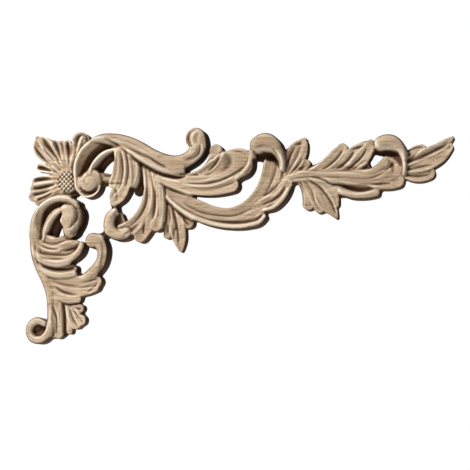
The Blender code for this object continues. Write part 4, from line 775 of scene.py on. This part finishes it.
def carveOnlay():
    # the points and faces of the onlay, how deep each point lies, and the edges of the rim
    step = board["gridStep"] / board["finer"]
    stations = np.array([s[:3] for hollow, line in strokes.values() for s in line])
    low = (stations[:, :2] - stations[:, 2:]).min(0) - board["gridMargin"]
    high = (stations[:, :2] + stations[:, 2:]).max(0) + board["gridMargin"]
    xs = np.arange(low[0], high[0], step)
    zs = np.arange(low[1], high[1], step)
    print("carving", len(strokes), "strokes on a grid of", len(xs), "by", len(zs))
    height, inside = carveStrokes(xs, zs)
    print("cutting", len(veins), "veins and the seed bed")
    height = softened(cutVeins(height, xs, zs), inside, step)
    height = blurred(cutSeeds(height, xs, zs), board["softSeeds"] / step)
    inside = blurred(inside, board["softOutline"] / step)
    # how far below its surroundings each point lies; the wood paints shade in hollows and creases
    # and a highlight on arrises from these
    recess = blurredWithin(height, inside > 0, board["wideView"] / step) - height
    crease = blurredWithin(height, inside > 0, board["narrowView"] / step) - height
    thinned = np.s_[::board["finer"], ::board["finer"]]
    height, inside, recess, crease = (field[thinned] for field in (height, inside, recess, crease))
    xs = xs[::board["finer"]]
    zs = zs[::board["finer"]]

    print("trimming the carved face to its outline")
    flat, faces = outlineGrid(inside, xs, zs)
    p = flat[faces]
    turn = ((p[:, 1, 0] - p[:, 0, 0]) * (p[:, 2, 1] - p[:, 0, 1])
            - (p[:, 1, 1] - p[:, 0, 1]) * (p[:, 2, 0] - p[:, 0, 0]))
    faces = np.where(turn[:, None] > 0, faces, faces[:, ::-1])    # so that the normals look to -Y
    rim = outlineEdges(faces)
    flat = smoothRim(flat, rim)
    top = np.maximum(sampled(height, flat, xs, zs), board["leastHeight"])
    places = [(x, -h, z) for (x, z), h in zip(flat, top)]
    recessed = list(sampled(recess, flat, xs, zs))
    creased = list(sampled(crease, flat, xs, zs))
    faceList = [tuple(face) for face in faces]

    print("adding the sides and the back")
    rows = board["wallRows"]
    ring = {start: [start] for start, end in rim}
    for corner, column in ring.items():
        x, y, z = places[corner]
        for row in range(1, rows + 1):
            column.append(len(places))
            places.append((x, y * (1 - row / rows), z))
            # the depth that places the painted shade of the hollows runs out down the sides, and
            # no crease shade or highlight is painted there
            recessed.append(recessed[corner] * (1 - row / rows))
            creased.append(0.0)
    for start, end in rim:
        for row in range(rows):
            faceList.append((ring[end][row], ring[start][row],
                             ring[start][row + 1], ring[end][row + 1]))
    addBack(places, faceList, rim, ring)
    print("onlay mesh:", len(places), "points,", len(faceList), "faces")
    return places, faceList, recessed, creased, rim


def addBack(places, faceList, rim, ring):
    # the flat back, filled from the rims inwards so that the pierced holes stay open
    corners = list(ring)
    number = {corner: k for k, corner in enumerate(corners)}
    outline = [Vector((places[c][0], places[c][2])) for c in corners]
    edges = [(number[a], number[b]) for a, b in rim]
    everyTriangle = 0
    filled = delaunay_2d_cdt(outline, edges, [], everyTriangle, board["sameSpot"])
    corner = {k: source for k, sources in enumerate(filled[3]) for source in sources}
    besideEdge = {}
    for face in filled[2]:
        triangle = tuple(corner[k] for k in face)
        for k in range(3):
            besideEdge[triangle[k], triangle[(k + 1) % 3]] = triangle
    rimEdges = set(edges)
    kept = set()
    waiting = [besideEdge[edge] for edge in edges if edge in besideEdge]
    while waiting:
        triangle = waiting.pop()
        if triangle in kept:
            continue
        kept.add(triangle)
        for k in range(3):
            a = triangle[k]
            b = triangle[(k + 1) % 3]
            if (a, b) in rimEdges or (b, a) in rimEdges:
                continue
            if (b, a) in besideEdge:
                waiting.append(besideEdge[b, a])
    for triangle in sorted(kept):
        a, b, c = (ring[corners[k]][-1] for k in triangle)
        faceList.append((c, b, a))


def newCollection(name):
    collection = bpy.data.collections.new(name)
    bpy.context.scene.collection.children.link(collection)
    return collection


def linear(hexColour):
    # sRGB hex to linear colour
    channels = [int(hexColour[k:k + 2], 16) / 255 for k in (1, 3, 5)]
    straight = [c / 12.92 if c <= 0.04045 else ((c + 0.055) / 1.055) ** 2.4 for c in channels]
    return (*straight, 1.0)


def addNode(tree, kind, settings=None, links=None):
    # a node with its settings, its input values and its links
    node = tree.nodes.new(kind)
    for name, value in (settings or {}).items():
        setattr(node, name, value)
    for name, source in (links or {}).items():
        socket = node.inputs[name]
        if isinstance(source, bpy.types.NodeSocket):
            tree.links.new(source, socket)
        else:
            socket.default_value = source
    return node


# Rubberwood, sanded and left unfinished: to the eye it is pale straw to light brown and dull,
# with short brown pores along the grain. Painted shade darkens the hollows, the creases and the
# router-cut sides, painted shadow the deepest creases, and a painted highlight lightens the
# arrises.
wood = {
    "light": "#CDB9A0",
    "middle": "#B29B82",
    "dark": "#876B50",
    "pore": "#573E2A",
    # painted highlight along the arrises
    "paintedHighlight": "#F9F1E6",
    # painted shade in the hollows and creases
    "hollow": "#4B2A0E",
    # painted shade on the router-cut sides
    "paintedSideShade": "#3C1D06",
    # painted shadow in the deepest creases
    "deep": "#291303",
    "roughness": 0.68,
    "ior": 1.52,
    "gloss": 0.25,           # dry sanded fibres glint less than a flat face of cellulose
    "bump": 0.05,            # mm from the bottom of a pore to the top of a fibre
    "bumpStrength": 0.6,
    "fibreRelief": 0.6,      # share of the bump that the fibres take
    "pits": (0.62, 0.74, -0.8),      # where the pores sink in, where in full, and how far
    "patterns": {            # mm along the grain and across it, detail, roughness, warp
        "bands": (56.0, 7.0, 2.0, 0.5, 0.6),      # broad bands of growth
        "fibres": (26.0, 0.9, 4.0, 0.62, 0.3),    # really 0.1 mm, drawn wider so that they show
        "pores": (2.6, 0.34, 1.0, 0.5, 0.0),      # really 0.2 mm, drawn wider as well
    },
    # Colours laid over the light one: what places each, the two limits of that value, and how
    # much the colour covers at either limit. Recess and crease are mm below the surroundings.
    "layers": (
        ("middle", "bands", 0.3, 0.7, 0.0, 1.0),
        ("dark", "fibres", 0.46, 0.72, 0.0, 0.75),
        ("pore", "pores", 0.64, 0.74, 0.0, 0.6),
        # painted highlight where the top stands above its surroundings
        ("paintedHighlight", "crease", -0.28, -0.03, 0.7, 0.0),
        # painted shade in the hollows and the fine creases
        ("hollow", "recess", 0.05, 1.7, 0.0, 0.9),
        ("hollow", "crease", 0.01, 0.2, 0.0, 0.8),
        # painted shadow in the deepest creases
        ("deep", "crease", 0.1, 0.4, 0.0, 0.9),
        # painted shade on the sides, which look across the board
        ("paintedSideShade", "outward", 0.05, 0.35, 0.9, 0.0),
    ),
}


def makeWood():
    material = bpy.data.materials.new("sandedRubberwood")
    material.use_nodes = True
    tree = material.node_tree
    tree.nodes.clear()
    place = addNode(tree, "ShaderNodeTexCoord")
    values = {}
    for name, (along, across, detail, roughness, warp) in wood["patterns"].items():
        scale = (1 / (along * mm), 1 / (across * mm), 1 / (across * mm))
        mapping = addNode(tree, "ShaderNodeMapping", links={
            "Vector": place.outputs["Object"], "Scale": scale})
        noise = addNode(tree, "ShaderNodeTexNoise", links={
            "Vector": mapping.outputs["Vector"], "Scale": 1.0, "Detail": detail,
            "Roughness": roughness, "Distortion": warp})
        values[name] = noise.outputs["Fac"]
    for name in ("recess", "crease"):
        attribute = addNode(tree, "ShaderNodeAttribute", {"attribute_name": name})
        values[name] = attribute.outputs["Fac"]
    # how far a face looks out of the board; the sides, which look across it, get the painted shade
    facing = addNode(tree, "ShaderNodeSeparateXYZ", links={"Vector": place.outputs["Normal"]})
    outward = addNode(tree, "ShaderNodeMath", {"operation": "ABSOLUTE"}, {0: facing.outputs["Y"]})
    values["outward"] = outward.outputs[0]

    colour = linear(wood["light"])
    for name, placedBy, low, high, atLow, atHigh in wood["layers"]:
        share = addNode(tree, "ShaderNodeMapRange", {"interpolation_type": "SMOOTHSTEP"}, {
            "Value": values[placedBy], "From Min": low, "From Max": high,
            "To Min": atLow, "To Max": atHigh})
        mix = addNode(tree, "ShaderNodeMix", {"data_type": "RGBA"}, {
            0: share.outputs["Result"], 6: colour, 7: linear(wood[name])})
        colour = mix.outputs[2]

    # open pores sink in between the fibres
    edge, bottom, depth = wood["pits"]
    pits = addNode(tree, "ShaderNodeMapRange", {"interpolation_type": "SMOOTHSTEP"}, {
        "Value": values["pores"], "From Min": edge, "From Max": bottom, "To Max": depth})
    relief = addNode(tree, "ShaderNodeMath", {"operation": "MULTIPLY_ADD"}, {
        0: values["fibres"], 1: wood["fibreRelief"], 2: pits.outputs["Result"]})
    bump = addNode(tree, "ShaderNodeBump", links={
        "Strength": wood["bumpStrength"], "Distance": wood["bump"] * mm,
        "Height": relief.outputs[0]})
    shader = addNode(tree, "ShaderNodeBsdfPrincipled", links={
        "Base Color": colour, "Metallic": 0.0, "Roughness": wood["roughness"],
        "IOR": wood["ior"], "Specular IOR Level": wood["gloss"], "Normal": bump.outputs["Normal"]})
    addNode(tree, "ShaderNodeOutputMaterial", links={"Surface": shader.outputs["BSDF"]})
    print("wood:", len(tree.nodes), "nodes")
    return material


def makeOnlay():
    places, faceList, recessed, creased, rim = carveOnlay()
    mesh = bpy.data.meshes.new("carvedOnlay")
    mesh.from_pydata([tuple(np.array(place) * mm) for place in places], [], faceList)
    mesh.validate()
    # the depths that place the painted shade and highlight go onto the mesh
    for name, values in (("recess", recessed), ("crease", creased)):
        mesh.attributes.new(name, "FLOAT", "POINT").data.foreach_set("value", values)
    mesh.shade_smooth()
    mesh.set_sharp_from_angle(angle=math.radians(board["sharpAngle"]))
    rimEdges = {tuple(sorted(edge)) for edge in rim}
    for edge in mesh.edges:
        if tuple(sorted(edge.vertices)) in rimEdges:
            edge.use_edge_sharp = True
    mesh.materials.append(makeWood())
    onlay = bpy.data.objects.new("carvedOnlay", mesh)
    newCollection("woodenCornerOnlay").objects.link(onlay)
    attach(onlay, "root")
    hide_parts("corner_onlay")
    print("onlay made")


# A plain floor below, out of the main view, in matt paint that looks nearly white.
floorPlan = {
    "radius": 0.55,          # m
    "segments": 96,
    "drop": 0.16,            # m below the onlay
    "colour": "#F2F0EC",
    "roughness": 0.8,
}


def makeFloor():
    mesh = bpy.data.meshes.new("floor")
    bm = bmesh.new()
    bmesh.ops.create_circle(bm, cap_ends=True, segments=floorPlan["segments"],
                            radius=floorPlan["radius"])
    bm.to_mesh(mesh)
    bm.free()
    floor = bpy.data.objects.new("floor", mesh)
    low, high = cadBounds
    floor.location = ((low[0] + high[0]) / 2, 0, low[2] - floorPlan["drop"])
    newCollection("studio").objects.link(floor)
    paint = bpy.data.materials.new("mattPaint")
    paint.use_nodes = True
    shader = paint.node_tree.nodes["Principled BSDF"]
    shader.inputs["Base Color"].default_value = linear(floorPlan["colour"])
    shader.inputs["Roughness"].default_value = floorPlan["roughness"]
    mesh.materials.append(paint)
    print("floor made")


# Soft studio light: a key from the upper left, a weak fill in front, and one behind for the back.
lights = {                   # metres from the onlay's middle, metres across, watts
    "key": {"place": (-0.66, -0.62, 0.72), "size": 0.22, "watts": 16.5, "colour": "#FFFAF2"},
    "fill": {"place": (0.15, -1.3, 0.1), "size": 0.9, "watts": 1.0, "colour": "#FFFFFF"},
    "back": {"place": (-0.45, 1.2, 0.5), "size": 0.5, "watts": 7.0, "colour": "#FFFFFF"},
}
studioSky = {
    "light": 0.12,           # strength of the light from all round
    "backdrop": 1.0,         # what the camera sees behind the onlay
}


def makeLights():
    studio = bpy.data.collections["studio"]
    low, high = cadBounds
    middle = (Vector(low) + Vector(high)) / 2
    for name, plan in lights.items():
        lamp = bpy.data.lights.new(name, "AREA")
        lamp.shape = "DISK"
        lamp.size = plan["size"]
        lamp.energy = plan["watts"]
        lamp.color = linear(plan["colour"])[:3]
        light = bpy.data.objects.new(name, lamp)
        light.location = middle + Vector(plan["place"])
        light.rotation_euler = (-Vector(plan["place"])).to_track_quat("-Z", "Y").to_euler()
        studio.objects.link(light)
    world = bpy.data.worlds.new("paleStudio")
    world.use_nodes = True
    tree = world.node_tree
    tree.nodes.clear()
    seen = addNode(tree, "ShaderNodeLightPath").outputs["Is Camera Ray"]
    strength = addNode(tree, "ShaderNodeMapRange", links={
        "Value": seen, "To Min": studioSky["light"], "To Max": studioSky["backdrop"]})
    background = addNode(tree, "ShaderNodeBackground", links={
        "Color": (1.0, 1.0, 1.0, 1.0), "Strength": strength.outputs["Result"]})
    addNode(tree, "ShaderNodeOutputWorld", links={"Surface": background.outputs["Background"]})
    bpy.context.scene.world = world
    bpy.context.scene.view_settings.view_transform = "Standard"
    print("lights made:", len(lights))


# The photograph was taken from a point right of and below the onlay. The camera stands in that
# direction but further off, and is turned to the onlay, so that its shape is bent less.
cameraPlan = {
    "foot": (235.0, -103.0),     # x and z of the camera, mm
    "distance": 633.0,           # mm in front of the board
    "aim": (81.0, -27.0),        # x and z of the middle of the view, mm
    "width": 216.0,              # mm of the board that the view takes in
    "sensor": 36.0,
    "roll": 1.1,                 # degrees
    "clip": (0.01, 50.0),        # m
}


def makeCamera():
    place = Vector((cameraPlan["foot"][0], -cameraPlan["distance"], cameraPlan["foot"][1]))
    aim = Vector((cameraPlan["aim"][0], 0, cameraPlan["aim"][1]))
    data = bpy.data.cameras.new("camera")
    data.sensor_width = cameraPlan["sensor"]
    data.lens = cameraPlan["sensor"] * (aim - place).length / cameraPlan["width"]
    data.clip_start, data.clip_end = cameraPlan["clip"]
    camera = bpy.data.objects.new("camera", data)
    camera.location = place * mm
    turn = (aim - place).to_track_quat("-Z", "Y").to_matrix().to_4x4()
    roll = Matrix.Rotation(math.radians(cameraPlan["roll"]), 4, "Z")
    camera.rotation_euler = (turn @ roll).to_euler()
    bpy.data.collections["studio"].objects.link(camera)
    bpy.context.scene.camera = camera
    print("camera made")


makeFloor()
makeCamera()
makeLights()
makeOnlay()
